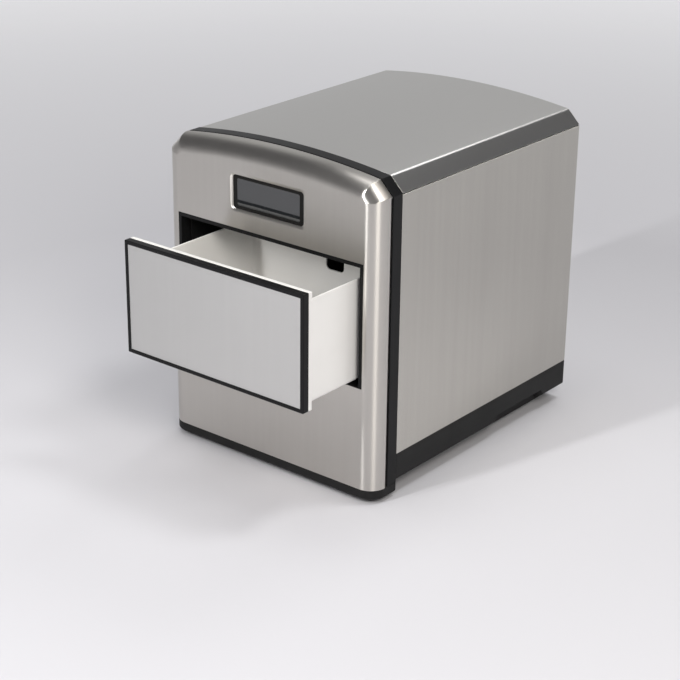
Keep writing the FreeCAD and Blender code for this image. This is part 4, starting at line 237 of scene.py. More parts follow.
@dataclass(frozen=True)
class Finish:
    """A plain moulded plastic, and the base of all other finishes.

    Attributes:
        name: The material's name.
        slot: The record's material slot.
        color: Its colour.
        roughness: Its mean roughness.
        texture: Strength of its fine relief.
        grain: Features of that relief per metre.
        mottle: How far its colour varies, as a share.
        gloss: Strength of its mirror reflection.
        relief: Depth of the fine relief.
        marks: Features of its visible pattern per metre.
        wear: Lowest and highest roughness, as shares of the mean one.
    """

    name: str
    slot: str
    color: Color
    roughness: float = 0.45
    texture: float = 0.08
    grain: float = 1400.0
    mottle: float = 0.05
    gloss: float = 0.4
    relief: float = 0.0002
    marks: float = 14.0
    wear: tuple[float, float] = (0.88, 1.12)

    def constants(self) -> dict[str, object]:
        """Values of the shader's own sockets."""
        return {"Specular IOR Level": self.gloss}

    def shades(self, share: float) -> tuple[Color, Color]:
        """The colour made darker and lighter by the same share."""
        return shaded(self.color, 1.0 - share), shaded(self.color, 1.0 + share)

    def wear_in(self, recipe: Recipe, pattern: Socket, start: float = 0.3, end: float = 0.7) -> None:
        """Lets the roughness follow a pattern.

        Args:
            recipe: The finish's recipe.
            pattern: The pattern.
            start: Its value where the roughness is lowest.
            end: Its value where the roughness is highest.
        """
        low, high = (self.roughness * share for share in self.wear)
        recipe.to_shader(recipe.spread(pattern, low, high, start, end), "Roughness")

    def emboss(self, recipe: Recipe) -> None:
        """Adds the fine relief."""
        recipe.bump(recipe.noise((self.grain,) * 3, detail=2.0), self.texture, self.relief)

    def dress(self, recipe: Recipe) -> None:
        """Adds patches of tone and gloss, and the fine relief.

        Args:
            recipe: The finish's recipe.
        """
        patches = recipe.noise((self.marks,) * 3)
        tone = recipe.spread(patches, 0.0, 1.0)
        recipe.to_shader(recipe.tint(tone, *self.shades(self.mottle)), "Base Color")
        self.wear_in(recipe, patches)
        self.emboss(recipe)

    def material(self) -> bpy.types.Material:
        """Gives the finish's material, and makes it the first time.

        Returns:
            The material.
        """
        found = bpy.data.materials.get(self.name)
        if found is None:
            recipe = Recipe(self.name, self.constants())
            self.dress(recipe)
            found = recipe.material
        return found


@dataclass(frozen=True)
class BrushedSteel(Finish):
    """Stainless sheet with a satin brushing.

    Attributes:
        direction: Way the visible brush lines run.
        spread: Way that highlights are drawn out.
        stretch: How far highlights are drawn out.
        streaks: How far soft bands differ in tone, as a share.
        hairs: Brush lines per metre, across and along the brushing.
        bands: Soft bands per metre, across and along it.
        clouds: Broad patches per metre, across and along it.
        shares: Shares of bands, brush lines and patches in the tone.
        swing: How far bands and brush lines change the roughness.
    """

    relief: float = 0.00002
    direction: Grain = Grain.UPRIGHT
    spread: Grain = Grain.UPRIGHT
    stretch: float = 0.6
    streaks: float = 0.03
    hairs: tuple[float, float] = (1500.0, 18.0)
    bands: tuple[float, float] = (110.0, 2.2)
    clouds: tuple[float, float] = (9.0, 5.0)
    shares: tuple[float, float, float] = (0.45, 0.2, 0.35)
    swing: tuple[float, float] = (0.012, 0.008)

    def constants(self) -> dict[str, object]:
        """Values of the shader's own sockets."""
        return {"Metallic": 1.0, "Anisotropic": self.stretch}

    def along(self, across: float, lengthwise: float) -> tuple[float, ...]:
        """A noise scale that is drawn out along the brushing."""
        return tuple(lengthwise if part else across for part in self.direction.value)

    def dress(self, recipe: Recipe) -> None:
        """Adds the brushing's tone, gloss, relief and drawn-out highlights.

        Args:
            recipe: The finish's recipe.
        """
        hair = recipe.noise(self.along(*self.hairs), detail=2.0)
        band = recipe.noise(self.along(*self.bands))
        cloud = recipe.noise(self.along(*self.clouds), detail=2.0)
        layers = [recipe.spread(layer, 0.0, share) for layer, share in zip((band, hair, cloud), self.shares)]
        tone = recipe.compute("ADD", recipe.compute("ADD", layers[0], layers[1]), layers[2])
        recipe.to_shader(recipe.tint(tone, *self.shades(self.streaks)), "Base Color")
        wide, fine = self.swing
        gloss = recipe.compute("ADD", recipe.spread(band, -wide, wide), recipe.spread(hair, -fine, fine))
        recipe.to_shader(recipe.compute("ADD", gloss, self.roughness), "Roughness")
        recipe.bump(hair, self.texture, self.relief)
        cross = recipe.node("ShaderNodeVectorMath")
        cross.operation = "CROSS_PRODUCT"
        recipe.feed(recipe.node("ShaderNodeNewGeometry").outputs["True Normal"], cross.inputs[0])
        cross.inputs[1].default_value = self.spread.value
        recipe.to_shader(cross.outputs[0], "Tangent")


@dataclass(frozen=True)
class BareMetal(Finish):
    """Cast, drawn or plated metal with slight stains.

    Attributes:
        stain: Colour of the stains.
    """

    relief: float = 0.0001
    marks: float = 55.0
    wear: tuple[float, float] = (0.8, 1.4)
    stain: Color = (0.3, 0.3, 0.3)

    def constants(self) -> dict[str, object]:
        """Values of the shader's own sockets."""
        return {"Metallic": 1.0}

    def dress(self, recipe: Recipe) -> None:
        """Adds stains, an uneven gloss and the fine relief.

        Args:
            recipe: The finish's recipe.
        """
        stains = recipe.noise((self.marks,) * 3, detail=5.0)
        stained = recipe.spread(stains, low=0.0, high=0.5, start=0.45, end=0.8)
        recipe.to_shader(recipe.tint(stained, self.color, self.stain), "Base Color")
        self.wear_in(recipe, stains)
        self.emboss(recipe)


@dataclass(frozen=True)
class ZincSheet(Finish):
    """Zinc-coated sheet with its crystal pattern."""

    relief: float = 0.0001
    marks: float = 140.0
    wear: tuple[float, float] = (0.85, 1.2)

    def constants(self) -> dict[str, object]:
        """Values of the shader's own sockets."""
        return {"Metallic": 0.85}

    def dress(self, recipe: Recipe) -> None:
        """Adds the crystal pattern and the fine relief.

        Args:
            recipe: The finish's recipe.
        """
        crystal = recipe.cells(self.marks)
        recipe.to_shader(recipe.tint(crystal, *self.shades(self.mottle)), "Base Color")
        self.wear_in(recipe, crystal, start=0.0, end=1.0)
        self.emboss(recipe)


@dataclass(frozen=True)
class BeadFoam(Finish):
    """Expanded foam with visible beads.

    Attributes:
        shade: Darkest tone of a bead, as a share of the colour.
    """

    relief: float = 0.0004
    marks: float = 420.0
    wear: tuple[float, float] = (0.9, 1.0)
    shade: float = 0.92

    def dress(self, recipe: Recipe) -> None:
        """Adds the beads.

        Args:
            recipe: The finish's recipe.
        """
        beads = recipe.cells(self.marks)
        recipe.to_shader(recipe.tint(beads, shaded(self.color, self.shade), self.color), "Base Color")
        self.wear_in(recipe, beads, start=0.0, end=1.0)
        recipe.bump(beads, self.texture, self.relief)


@dataclass(frozen=True)
class SmokedGlass(Finish):
    """Polished dark glass with faint wiping marks.

    Attributes:
        shade: Darkest tone of a mark, as a share of the colour.
        wipe: How much closer the marks lie upwards than sideways.
    """

    marks: float = 40.0
    wear: tuple[float, float] = (0.8, 1.5)
    shade: float = 0.9
    wipe: float = 4.0

    def constants(self) -> dict[str, object]:
        """Values of the shader's own sockets."""
        return {"IOR": 1.8, "Specular IOR Level": 0.5}

    def dress(self, recipe: Recipe) -> None:
        """Adds the wiping marks.

        Args:
            recipe: The finish's recipe.
        """
        marks = recipe.noise((self.marks, self.marks, self.marks * self.wipe), detail=4.0)
        recipe.to_shader(recipe.tint(marks, shaded(self.color, self.shade), self.color), "Base Color")
        self.wear_in(recipe, marks)


@dataclass(frozen=True)
class CircuitBoard(Finish):
    """Lacquered board with darker tracks.

    Attributes:
        shade: Tone of the tracks, as a share of the colour.
    """

    relief: float = 0.0001
    marks: float = 260.0
    wear: tuple[float, float] = (1.0, 1.3)
    shade: float = 0.6

    def dress(self, recipe: Recipe) -> None:
        """Adds the tracks.

        Args:
            recipe: The finish's recipe.
        """
        tracks = recipe.cells(self.marks)
        raised = recipe.spread(tracks, low=0.0, high=1.0, start=0.45, end=0.55)
        recipe.to_shader(recipe.tint(raised, shaded(self.color, self.shade), self.color), "Base Color")
        self.wear_in(recipe, tracks)
        recipe.bump(raised, self.texture, self.relief)


STEEL_FRONT = BrushedSteel("brushed_steel_front", "stainless", (0.62, 0.596, 0.56), 0.30, 0.02,
                           spread=Grain.CROSSWISE, stretch=0.96, streaks=0.03)
# Same stainless steel as the front; its colour is painted lighter, as painted light on the drawer plate.
LIT_STEEL_PLATE = BrushedSteel("brushed_steel_drawer_painted_light", "stainless", (0.66, 0.655, 0.64), 0.40, 0.02,
                           spread=Grain.CROSSWISE, streaks=0.022)
# Same stainless steel as the front; its colour is painted darker, as painted shade on the side sheets.
SHADED_STEEL_SIDE = BrushedSteel("brushed_steel_side_painted_shade", "stainless", (0.52, 0.503, 0.466), 0.24, 0.03,
                          streaks=0.06)
# Same stainless steel as the front; its colour is painted darker, as painted shade on the top cover.
SHADED_STEEL_TOP = BrushedSteel("brushed_steel_top_painted_shade", "stainless", (0.53, 0.522, 0.508), 0.30, 0.02,
                         direction=Grain.LENGTHWISE, spread=Grain.LENGTHWISE, streaks=0.012)
BLACK_TRIM = Finish("black_trim_plastic", "black_trim", (0.007, 0.007, 0.0075), 0.42, 0.05, gloss=0.16)
BLACK_BASE = Finish("black_base_plastic", "black_plastic", (0.010, 0.010, 0.010), 0.55, 0.14, 900.0, 0.12,
                    gloss=0.24)
BORDER_PRINT = Finish("black_border_print", "smoked_glass", (0.008, 0.0075, 0.007), 0.5, 0.02, gloss=0.15)
DARK_GLASS = SmokedGlass("smoked_display_glass", "smoked_glass", (0.016, 0.018, 0.020), 0.03)
WHITE_BIN = Finish("white_bin_plastic", "white_plastic", (0.86, 0.85, 0.83), 0.32, 0.03, 700.0, 0.015)
GREY_PLASTIC = Finish("grey_plastic", "grey_plastic", (0.42, 0.43, 0.44), 0.45)
TANK_PLASTIC = Finish("milky_tank_plastic", "clear_plastic", (0.74, 0.78, 0.80), 0.3, 0.03)
FLOAT_FOAM = BeadFoam("float_foam", "float_foam", (0.88, 0.87, 0.84), 0.8, 0.3)
INSULATION = BeadFoam("insulation_foam", "insulation", (0.86, 0.85, 0.80), 0.85, 0.4)
ZINC = ZincSheet("zinc_sheet", "zinc_steel", (0.46, 0.47, 0.48), 0.36, 0.04, 1200.0, 0.12)
SCREW_STEEL = BareMetal("plated_screw_steel", "fastener", (0.60, 0.60, 0.58), 0.25, 0.05)
SHAFT_STEEL = BareMetal("ground_shaft_steel", "shaft_steel", (0.58, 0.58, 0.58), 0.22, 0.03)
RUBBER = Finish("black_rubber", "rubber", (0.022, 0.022, 0.022), 0.75, 0.2, 1100.0, 0.1)
SILICONE = Finish("milky_silicone", "silicone", (0.74, 0.74, 0.71), 0.42, 0.04)
NICKEL = BareMetal("nickel_plate", "plated", (0.70, 0.68, 0.64), 0.14, 0.02, stain=(0.5, 0.47, 0.42))
ALUMINIUM = BareMetal("mill_aluminium", "aluminium", (0.74, 0.75, 0.76), 0.3, 0.05, stain=(0.5, 0.5, 0.5))
COPPER = BareMetal("drawn_copper", "copper", (0.72, 0.36, 0.22), 0.28, 0.05, stain=(0.32, 0.14, 0.08))
ENAMEL = Finish("black_enamel", "shell_paint", (0.014, 0.014, 0.015), 0.24, 0.1, 300.0)
MOTOR_GREY = Finish("grey_motor_paint", "motor_casing", (0.30, 0.31, 0.33), 0.4, 0.08, 600.0)
BOARD_GREEN = CircuitBoard("circuit_board_green", "circuit", (0.03, 0.17, 0.08), 0.35, 0.1)
SLOT_FINISHES: dict[str, Finish] = {
    finish.slot: finish for finish in (
        STEEL_FRONT, BLACK_TRIM, BLACK_BASE, WHITE_BIN, GREY_PLASTIC, TANK_PLASTIC, FLOAT_FOAM, INSULATION,
        ZINC, SCREW_STEEL, SHAFT_STEEL, RUBBER, SILICONE, NICKEL, ALUMINIUM, COPPER, ENAMEL, MOTOR_GREY,
        BOARD_GREEN)
}


# ---------------------------------------------------------------- shaping helpers

def block(low: Vector, high: Vector) -> Mesh:
    """A closed block between two corners.

    Args:
        low: Lowest corner.
        high: Highest corner.

    Returns:
        The block.
    """
    bm = bmesh.new()
    size = high - low
    place = Matrix.Translation((low + high) / 2) @ Matrix.Diagonal((*size, 1.0))
    bmesh.ops.create_cube(bm, size=1.0, matrix=place)
    return bm


def round_off(bm: Mesh, edges: Sequence[Edge], radius: float, segments: int) -> None:
    """Rounds some edges of a mesh.

    Args:
        bm: The mesh.
        edges: The edges to round.
        radius: Radius of the rounding.
        segments: Number of flats that it is made of.
    """
    bmesh.ops.bevel(bm, geom=edges, offset=radius, offset_type="OFFSET", affect="EDGES", segments=segments,
                    profile=0.5, material=-1, clamp_overlap=False)


def cut_across(bm: Mesh, axis: int, places: Iterable[float]) -> None:
    """Draws lines round a mesh where planes square to one axis cross it.

    Args:
        bm: The mesh.
        axis: 0, 1 or 2 for X, Y or Z.
        places: Where the planes stand on that axis.
    """
    normal = Vector((0.0, 0.0, 0.0))
    normal[axis] = 1.0
    for place in places:
        everything = bm.verts[:] + bm.edges[:] + bm.faces[:]
        bmesh.ops.bisect_plane(bm, geom=everything, dist=WELD, plane_co=normal * place, plane_no=normal)


def edges_along(bm: Mesh, axis: int) -> list[Edge]:
    """Finds the edges that run along one axis.

    Args:
        bm: The mesh.
        axis: 0, 1 or 2 for X, Y or Z.

    Returns:
        The edges.
    """
    found = []
    for edge in bm.edges:
        run = (edge.verts[1].co - edge.verts[0].co).normalized()
        if abs(run[axis]) > SQUARE_ON:
            found.append(edge)
    return found


def edges_at(bm: Mesh, axis: int, place: float) -> list[Edge]:
    """Finds the edges that lie in a plane square to one axis.

    Args:
        bm: The mesh.
        axis: 0, 1 or 2 for X, Y or Z.
        place: Where the plane stands on that axis.

    Returns:
        The edges.
    """
    return [edge for edge in bm.edges if all(abs(vert.co[axis] - place) < WELD for vert in edge.verts)]


def loop_edges(verts: Sequence[Corner]) -> list[Edge]:
    """The edges of a loop that stands alone, from its corners."""
    return list(dict.fromkeys(edge for vert in verts for edge in vert.link_edges))


def corners_among(parts: Sequence[object]) -> list[Corner]:
    """The corners among the parts that an operator has made."""
    return [part for part in parts if isinstance(part, Corner)]


@dataclass(frozen=True)
class RoundedLoop:
    """Outline with round corners that stands square to Y.

    Attributes:
        centre: Its middle.
        width: Its width.
        height: Its height.
        radius: Radius of its corners, 0 for square ones.
        segments: Number of flats round a corner.
    """

    centre: Vector
    width: float
    height: float
    radius: float = 0.0
    segments: int = 6

    def draw(self, bm: Mesh) -> list[Edge]:
        """Draws the outline as a loop of edges.

        Args:
            bm: The mesh to draw in.

        Returns:
            The loop's edges.
        """
        turn = Matrix.Rotation(math.pi / 2, 4, "X") @ Matrix.Diagonal((self.width, self.height, 1.0, 1.0))
        grid = bmesh.ops.create_grid(bm, x_segments=1, y_segments=1, size=0.5,
                                     matrix=Matrix.Translation(self.centre) @ turn)["verts"]
        faces = list({face for vert in grid for face in vert.link_faces})
        if self.radius:
            bmesh.ops.bevel(bm, geom=grid, offset=self.radius, offset_type="OFFSET", affect="VERTICES",
                            segments=self.segments, profile=0.5, material=-1, clamp_overlap=False)
            faces = [face for face in bm.faces if len(face.verts) == 4 * (self.segments + 1)
                     and (face.calc_center_median() - self.centre).length < NEAR]
        edges = list(faces[0].edges)
        bmesh.ops.delete(bm, geom=faces, context="FACES_ONLY")
        return edges

    def cell(self, bm: Mesh, margin: float) -> list[Edge]:
        """Opens the square cell of a sheet that the outline lies in.

        Args:
            bm: The sheet.
            margin: Distance from the outline to the cell's border.

        Returns:
            The edges round the opened cell.
        """
        half = (self.width / 2 + margin, self.height / 2 + margin)
        cut_across(bm, 0, (self.centre.x - half[0], self.centre.x + half[0]))
        cut_across(bm, 2, (self.centre.z - half[1], self.centre.z + half[1]))
        inside = []
        for face in bm.faces:
            off = face.calc_center_median() - self.centre
            if abs(off.x) < half[0] and abs(off.z) < half[1] and abs(off.y) < SAME_SHEET:
                inside.append(face)
        border = [edge for face in inside for edge in face.edges]
        border = [edge for edge in border if border.count(edge) == 1]
        bmesh.ops.delete(bm, geom=inside, context="FACES")
        return [edge for edge in border if edge.is_valid]


def lathe(profile: Sequence[tuple[float, float]], centre: Vector, steps: int) -> Mesh:
    """A turned piece about an upright axis.

    Args:
        profile: Its outline as radius and height, from its lower middle to its upper one.
        centre: Foot of the axis.
        steps: Number of flats round it.

    Returns:
        The turned piece.
    """
    bm = bmesh.new()
    verts = [bm.verts.new(centre + Vector((radius, 0.0, height))) for radius, height in profile]
    edges = [bm.edges.new(pair) for pair in zip(verts[:-1], verts[1:])]
    bmesh.ops.spin(bm, geom=verts + edges, cent=centre, axis=(0.0, 0.0, 1.0), angle=2 * math.pi,
                   steps=steps, use_merge=True)
    bmesh.ops.remove_doubles(bm, verts=bm.verts, dist=WELD)
    bmesh.ops.recalc_face_normals(bm, faces=bm.faces)
    return bm


# ---------------------------------------------------------------- assemblies

@dataclass
class Assembly:
    """Pieces of the machine that ride on one body.

    Attributes:
        body: The body's name.
    """

    body: str = "cabinet"

    def build(self) -> list[Piece]:
        """Builds the assembly and returns its pieces."""
        raise NotImplementedError

    def piece(self, bm: Mesh, name: str, finish: Finish, nodes: Sequence[str],
              wall: float = 0.0, edge: float = 0.0004, segments: int = 2,
              sharpest: float = 30.0) -> Piece:
        """Turns a finished form into a piece on the body.

        Args:
            bm: The form. It is used up.
            name: The piece's name.
            finish: Its finish.
            nodes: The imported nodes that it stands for.
            wall: Thickness that is given to it inwards, 0 for a closed form.
            edge: Width of the rounding on its edges.
            segments: Number of flats of that rounding.
            sharpest: Angle in degrees from which an edge is rounded.

        Returns:
            The piece.
        """
        mesh = bpy.data.meshes.new(name)
        for face in bm.faces:
            face.smooth = True
        bm.to_mesh(mesh)
        bm.free()
        mesh.materials.append(finish.material())
        made = bpy.data.objects.new(name, mesh)
        bpy.context.scene.collection.objects.link(made)
        if wall:
            solid = made.modifiers.new("wall", "SOLIDIFY")
            solid.thickness = wall
            solid.offset = -1.0
            solid.use_even_offset = True
        if edge:
            rounding = made.modifiers.new("edges", "BEVEL")
            rounding.width = edge
            rounding.segments = segments
            rounding.limit_method = "ANGLE"
            rounding.angle_limit = math.radians(sharpest)
            rounding.use_clamp_overlap = False
        made.modifiers.new("normals", "WEIGHTED_NORMAL")
        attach(made, self.body)
        if nodes:
            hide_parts(*nodes)
        return made

    def refined(self, node: str, name: str, finish: Finish, edge: float, segments: int = 2,
                crease: float = 0.0) -> Piece:
        """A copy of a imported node, with its flat faces joined and its edges rounded.

        Args:
            node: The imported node.
            name: The piece's name.
            finish: Its finish.
            edge: Width of the rounding on its edges.
            segments: Number of flats of that rounding.
            crease: Width of the rounding where two large faces meet in an outward bend.

        Returns:
            The piece.
        """
        bm = bmesh.new()
        bm.from_mesh(frame["nodes"][node].data)
        bmesh.ops.remove_doubles(bm, verts=bm.verts, dist=WELD)
        bmesh.ops.dissolve_limit(bm, angle_limit=math.radians(FLAT_ANGLE), verts=bm.verts, edges=bm.edges)
        if crease:
            bends = []
            for bend in bm.edges:
                areas = [face.calc_area() for face in bend.link_faces]
                wide = len(areas) == 2 and min(areas) > BEND_AREA
                if wide and bend.is_convex and bend.calc_face_angle() > math.radians(BEND_ANGLE):
                    bends.append(bend)
            round_off(bm, bends, crease, segments=4)
        return self.piece(bm, name, finish, [node], edge=edge, segments=segments)


@dataclass
class FrontPanel(Assembly):
    """Steel front: rolled at its sides and top, with the drawer opening and the pressed window rim."""

    roll: float = 0.024
    roll_segments: int = 14
    chamfer: float = 0.0193
    crown_rise: float = 0.011
    crown_segments: int = 36
    skin: float = 0.0012
    opening_low: float = 0.1624
    opening_high: float = 0.3309
    opening_half: float = 0.1572
    window_width: float = 0.1288
    window_height: float = 0.0556
    window_corner: float = 0.0095
    window_margin: float = 0.003
    window_bevel: float = 0.005
    pressing: tuple[tuple[float, float], ...] = (    # share of the bevel's width, and depth there
        (0.0, 0.0), (0.12, 0.00004), (0.3, 0.0002), (0.5, 0.0005), (0.7, 0.0009), (0.88, 0.0013),
        (1.0, 0.0016), (1.0, 0.0022))

    def outline(self, bm: Mesh, low: Vector, high: Vector) -> bmesh.types.BMFace:
        """Draws the body's cross-section at the panel's rear edge.

        Args:
            bm: The mesh to draw in.
            low: Lowest corner of the panel's box.
            high: Highest corner of the panel's box.

        Returns:
            The cross-section as one face.
        """
        eaves = high.z - self.crown_rise
        crown_half = high.x - self.chamfer
        radius = (crown_half ** 2 + self.crown_rise ** 2) / (2 * self.crown_rise)
        left = [(low.x, low.z), (low.x, eaves - self.chamfer), (-crown_half, eaves)]
        chain = [bm.verts.new((x, high.y, z)) for x, z in left]
        sweep = 2 * math.asin(crown_half / radius)
        arch = bmesh.ops.spin(bm, geom=[chain[-1]], cent=(0.0, high.y, high.z - radius), axis=(0.0, 1.0, 0.0),
                              angle=sweep, steps=self.crown_segments)
        last = corners_among(arch["geom_last"])[0]
        right = [bm.verts.new((high.x, high.y, z)) for z in (eaves - self.chamfer, low.z)]
        for first, second in ((chain[0], chain[1]), (chain[1], chain[2]), (last, right[0]),
                              (right[0], right[1]), (right[1], chain[0])):
            bm.edges.new((first, second))
        return bmesh.ops.contextual_create(bm, geom=bm.edges[:])["faces"][0]

    def build(self) -> list[Piece]:
        """Builds the front.

        Returns:
            The pieces.
        """
        low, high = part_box("front_panel")
        bm = bmesh.new()
        back = self.outline(bm, low, high)
        grown = bmesh.ops.extrude_face_region(bm, geom=[back])["geom"]
        bmesh.ops.translate(bm, verts=corners_among(grown), vec=(0.0, low.y - high.y, 0.0))
        bmesh.ops.recalc_face_normals(bm, faces=bm.faces)
        foot_edges = edges_at(bm, 2, low.z)
        front_edges = [edge for edge in edges_at(bm, 1, low.y) if edge not in foot_edges]
        round_off(bm, front_edges, self.roll, self.roll_segments)
        bmesh.ops.recalc_face_normals(bm, faces=bm.faces)
        spare = [face for face in bm.faces if face.normal.y > SQUARE_ON or face.normal.z < -SQUARE_ON]
        bmesh.ops.delete(bm, geom=spare, context="FACES")
        middle = Vector((0.0, low.y, (self.opening_low + self.opening_high) / 2))
        RoundedLoop(middle, 2 * self.opening_half, self.opening_high - self.opening_low).cell(bm, 0.0)
        self.press_window(bm, low.y)
        return [self.piece(bm, "front_panel_skin", STEEL_FRONT, ["front_panel"], wall=self.skin,
                           edge=0.0004, sharpest=32.0)]

    def press_window(self, bm: Mesh, front: float) -> None:
        """Opens the window and draws its edge inwards in a soft curve.

        Args:
            bm: The panel's sheet.
            front: Where the panel's front face stands.
        """
        low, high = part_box("display_window")
        middle = Vector((0.0, front, (low.z + high.z) / 2))
        outer = RoundedLoop(middle, self.window_width, self.window_height).cell(bm, self.window_margin)
        for share, depth in self.pressing:
            inset = self.window_bevel * share
            loop = RoundedLoop(middle + Vector((0.0, depth, 0.0)), self.window_width - 2 * inset,
                               self.window_height - 2 * inset, self.window_corner - inset)
            inner = loop.draw(bm)
            bmesh.ops.bridge_loops(bm, edges=outer + inner)
            outer = inner
        bmesh.ops.recalc_face_normals(bm, faces=bm.faces)


@dataclass
class Window(Assembly):
    """Smoked glass with its printed border, and the holder behind it."""

    corner: float = 0.0055
    clear_width: float = 0.1056
    clear_height: float = 0.0366
    clear_corner: float = 0.0025
    print_depth: float = 0.0002

    def border(self, front: Vector, width: float, height: float) -> Mesh:
        """Shapes the print round the clear part of the glass.

        Args:
            front: Middle of the glass's front face.
            width: Width of the glass.
            height: Height of the glass.

        Returns:
            The border, standing on the glass.
        """
        bm = bmesh.new()
        outer = RoundedLoop(front, width, height, self.corner).draw(bm)
        inner = RoundedLoop(front, self.clear_width, self.clear_height, self.clear_corner).draw(bm)
        ring = bmesh.ops.bridge_loops(bm, edges=outer + inner)["faces"]
        raised = bmesh.ops.extrude_face_region(bm, geom=ring, use_keep_orig=True)["geom"]
        bmesh.ops.translate(bm, verts=corners_among(raised), vec=(0.0, -self.print_depth, 0.0))
        bmesh.ops.recalc_face_normals(bm, faces=bm.faces)
        return bm

    def build(self) -> list[Piece]:
        """Builds the glass, its border and its holder.

        Returns:
            The pieces.
        """
        low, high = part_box("display_window")
        bm = block(low, high)
        round_off(bm, edges_along(bm, 1), self.corner, segments=6)
        front = Vector((0.0, low.y, (low.z + high.z) / 2))
        border = self.border(front, high.x - low.x, high.z - low.z)
        return [
            self.piece(bm, "window_pane", DARK_GLASS, ["display_window"], edge=0.0003),
            self.piece(border, "window_border", BORDER_PRINT, [], edge=0.0),
            self.refined("window_bezel", "window_holder", BLACK_BASE, edge=0.0003),
        ]


@dataclass
class Trim(Assembly):
    """Black mouldings: the band behind the front, the foot strip and the opening's frame."""

    def build(self) -> list[Piece]:
        """Builds the mouldings.

        Returns:
            The pieces.
        """
        return [
            self.refined("trim_strip", "trim_band", BLACK_TRIM, edge=0.0006),
            self.refined("front_base_strip", "foot_strip", BLACK_BASE, edge=0.0008),
            self.refined("drawer_opening_frame", "opening_surround", BLACK_TRIM, edge=0.0004),
        ]


@dataclass
class Covers(Assembly):
    """Sheet steel covers: arched top, both sides and the vented rear."""

    def build(self) -> list[Piece]:
        """Builds the covers and the screws that hold the rear one.

        Returns:
            The pieces.
        """
        return [
            self.refined("top_cover", "top_cover_sheet", SHADED_STEEL_TOP, edge=0.00045, crease=0.0026),
            self.refined("left_side_panel", "left_side_sheet", SHADED_STEEL_SIDE, edge=0.00045, crease=0.0015),
            self.refined("right_side_panel", "right_side_sheet", SHADED_STEEL_SIDE, edge=0.00045, crease=0.0015),
            self.refined("rear_panel", "rear_sheet", ZINC, edge=0.0002),
            self.refined("rear_screws", "rear_panel_screws", SCREW_STEEL, edge=0.0002),
        ]


@dataclass
class IceDrawer(Assembly):
    """Drawer front with its steel plate, and the white bin behind it."""

    body: str = "drawer"
    flat_angle: float = 0.1        # degrees up to which two faces of the bin are one
    wall: float = 0.0025
    upright_round: float = 0.010
    floor_round: float = 0.006
    notch_width: float = 0.030
    notch_depth: float = 0.043
    notch_corner: float = 0.006
    hole_radius: float = 0.0025
    hole_flats: int = 16
    hole_columns: int = 5
    hole_rows: int = 3
    hole_cell: float = 1.6         # half width of a hole's square cell, in hole radii

    def notch(self, bm: Mesh, top: Vector) -> None:
        """Cuts the notch for the level arm into the bin's back wall.

        Args:
            bm: The bin's sheet.
            top: Middle of the notch at the rim.
        """
        RoundedLoop(top, self.notch_width, 2 * self.notch_depth).cell(bm, 0.0)
        bmesh.ops.dissolve_limit(bm, angle_limit=math.radians(self.flat_angle), verts=list(bm.verts),
                                 edges=list(bm.edges))
        foot = top - Vector((0.0, 0.0, self.notch_depth))
        corners = []
        for vert in bm.verts:
            off = vert.co - foot
            if abs(abs(off.x) - self.notch_width / 2) < NEAR and abs(off.y) + abs(off.z) < NEAR:
                corners.append(vert)
        bmesh.ops.bevel(bm, geom=corners, offset=self.notch_corner, offset_type="OFFSET", affect="VERTICES",
                        segments=6, profile=0.5, material=-1, clamp_overlap=False)

    def drain_hole(self, bm: Mesh, centre: Vector) -> None:
        """Turns the square face about a point into one with a round hole.

        Args:
            bm: The bin's sheet.
            centre: Middle of the hole.
        """
        cell = min(bm.faces, key=lambda face: (face.calc_center_median() - centre).length)
        border = list(cell.edges)
        bmesh.ops.delete(bm, geom=[cell], context="FACES_ONLY")
        ring = bmesh.ops.create_circle(bm, radius=self.hole_radius, segments=self.hole_flats,
                                       matrix=Matrix.Translation(centre))["verts"]
        bmesh.ops.bridge_loops(bm, edges=border + loop_edges(ring))

    def bin(self) -> Piece:
        """Builds the bin as one sheet that is then given its wall.

        Returns:
            The bin.
        """
        low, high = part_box("drawer_bin")
        arm_low, arm_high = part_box("ice_level_arm")
        bm = block(low, high)
        back_edges = edges_at(bm, 1, high.y)
        round_off(bm, [edge for edge in edges_along(bm, 2) if edge in back_edges], self.upright_round,
                  segments=8)
        front_edges = edges_at(bm, 1, low.y)
        round_off(bm, [edge for edge in edges_at(bm, 2, low.z) if edge not in front_edges], self.floor_round,
                  segments=5)
        bmesh.ops.recalc_face_normals(bm, faces=bm.faces)
        top = [face for face in bm.faces if face.normal.z > SQUARE_ON]
        bmesh.ops.delete(bm, geom=top, context="FACES")
        self.notch(bm, Vector(((arm_low.x + arm_high.x) / 2, high.y, high.z)))
        centres = []
        for i in range(self.hole_columns):
            for j in range(self.hole_rows):
                share = Vector(((i + 1) / (self.hole_columns + 1), (j + 1) / (self.hole_rows + 1)))
                centres.append(Vector((low.x + share.x * (high.x - low.x),
                                       low.y + share.y * (high.y - low.y), low.z)))
        margin = self.hole_cell * self.hole_radius
        cut_across(bm, 0, sorted({c.x + s * margin for c in centres for s in (-1, 1)}))
        cut_across(bm, 1, sorted({c.y + s * margin for c in centres for s in (-1, 1)}))
        for centre in centres:
            self.drain_hole(bm, centre)
        bmesh.ops.recalc_face_normals(bm, faces=bm.faces)
        return self.piece(bm, "ice_bin", WHITE_BIN, ["drawer_bin"], wall=self.wall, edge=0.0007,
                          segments=3, sharpest=35.0)

    def build(self) -> list[Piece]:
        """Builds the drawer's front and its bin.

        Returns:
            The pieces.
        """
        return [
            self.refined("drawer_front_plate", "drawer_plate", LIT_STEEL_PLATE, edge=0.0003),
            self.refined("drawer_front_frame", "drawer_frame", BLACK_TRIM, edge=0.0004),
            self.refined("drawer_front_backing", "drawer_backing", WHITE_BIN, edge=0.0006),
            self.bin(),
        ]


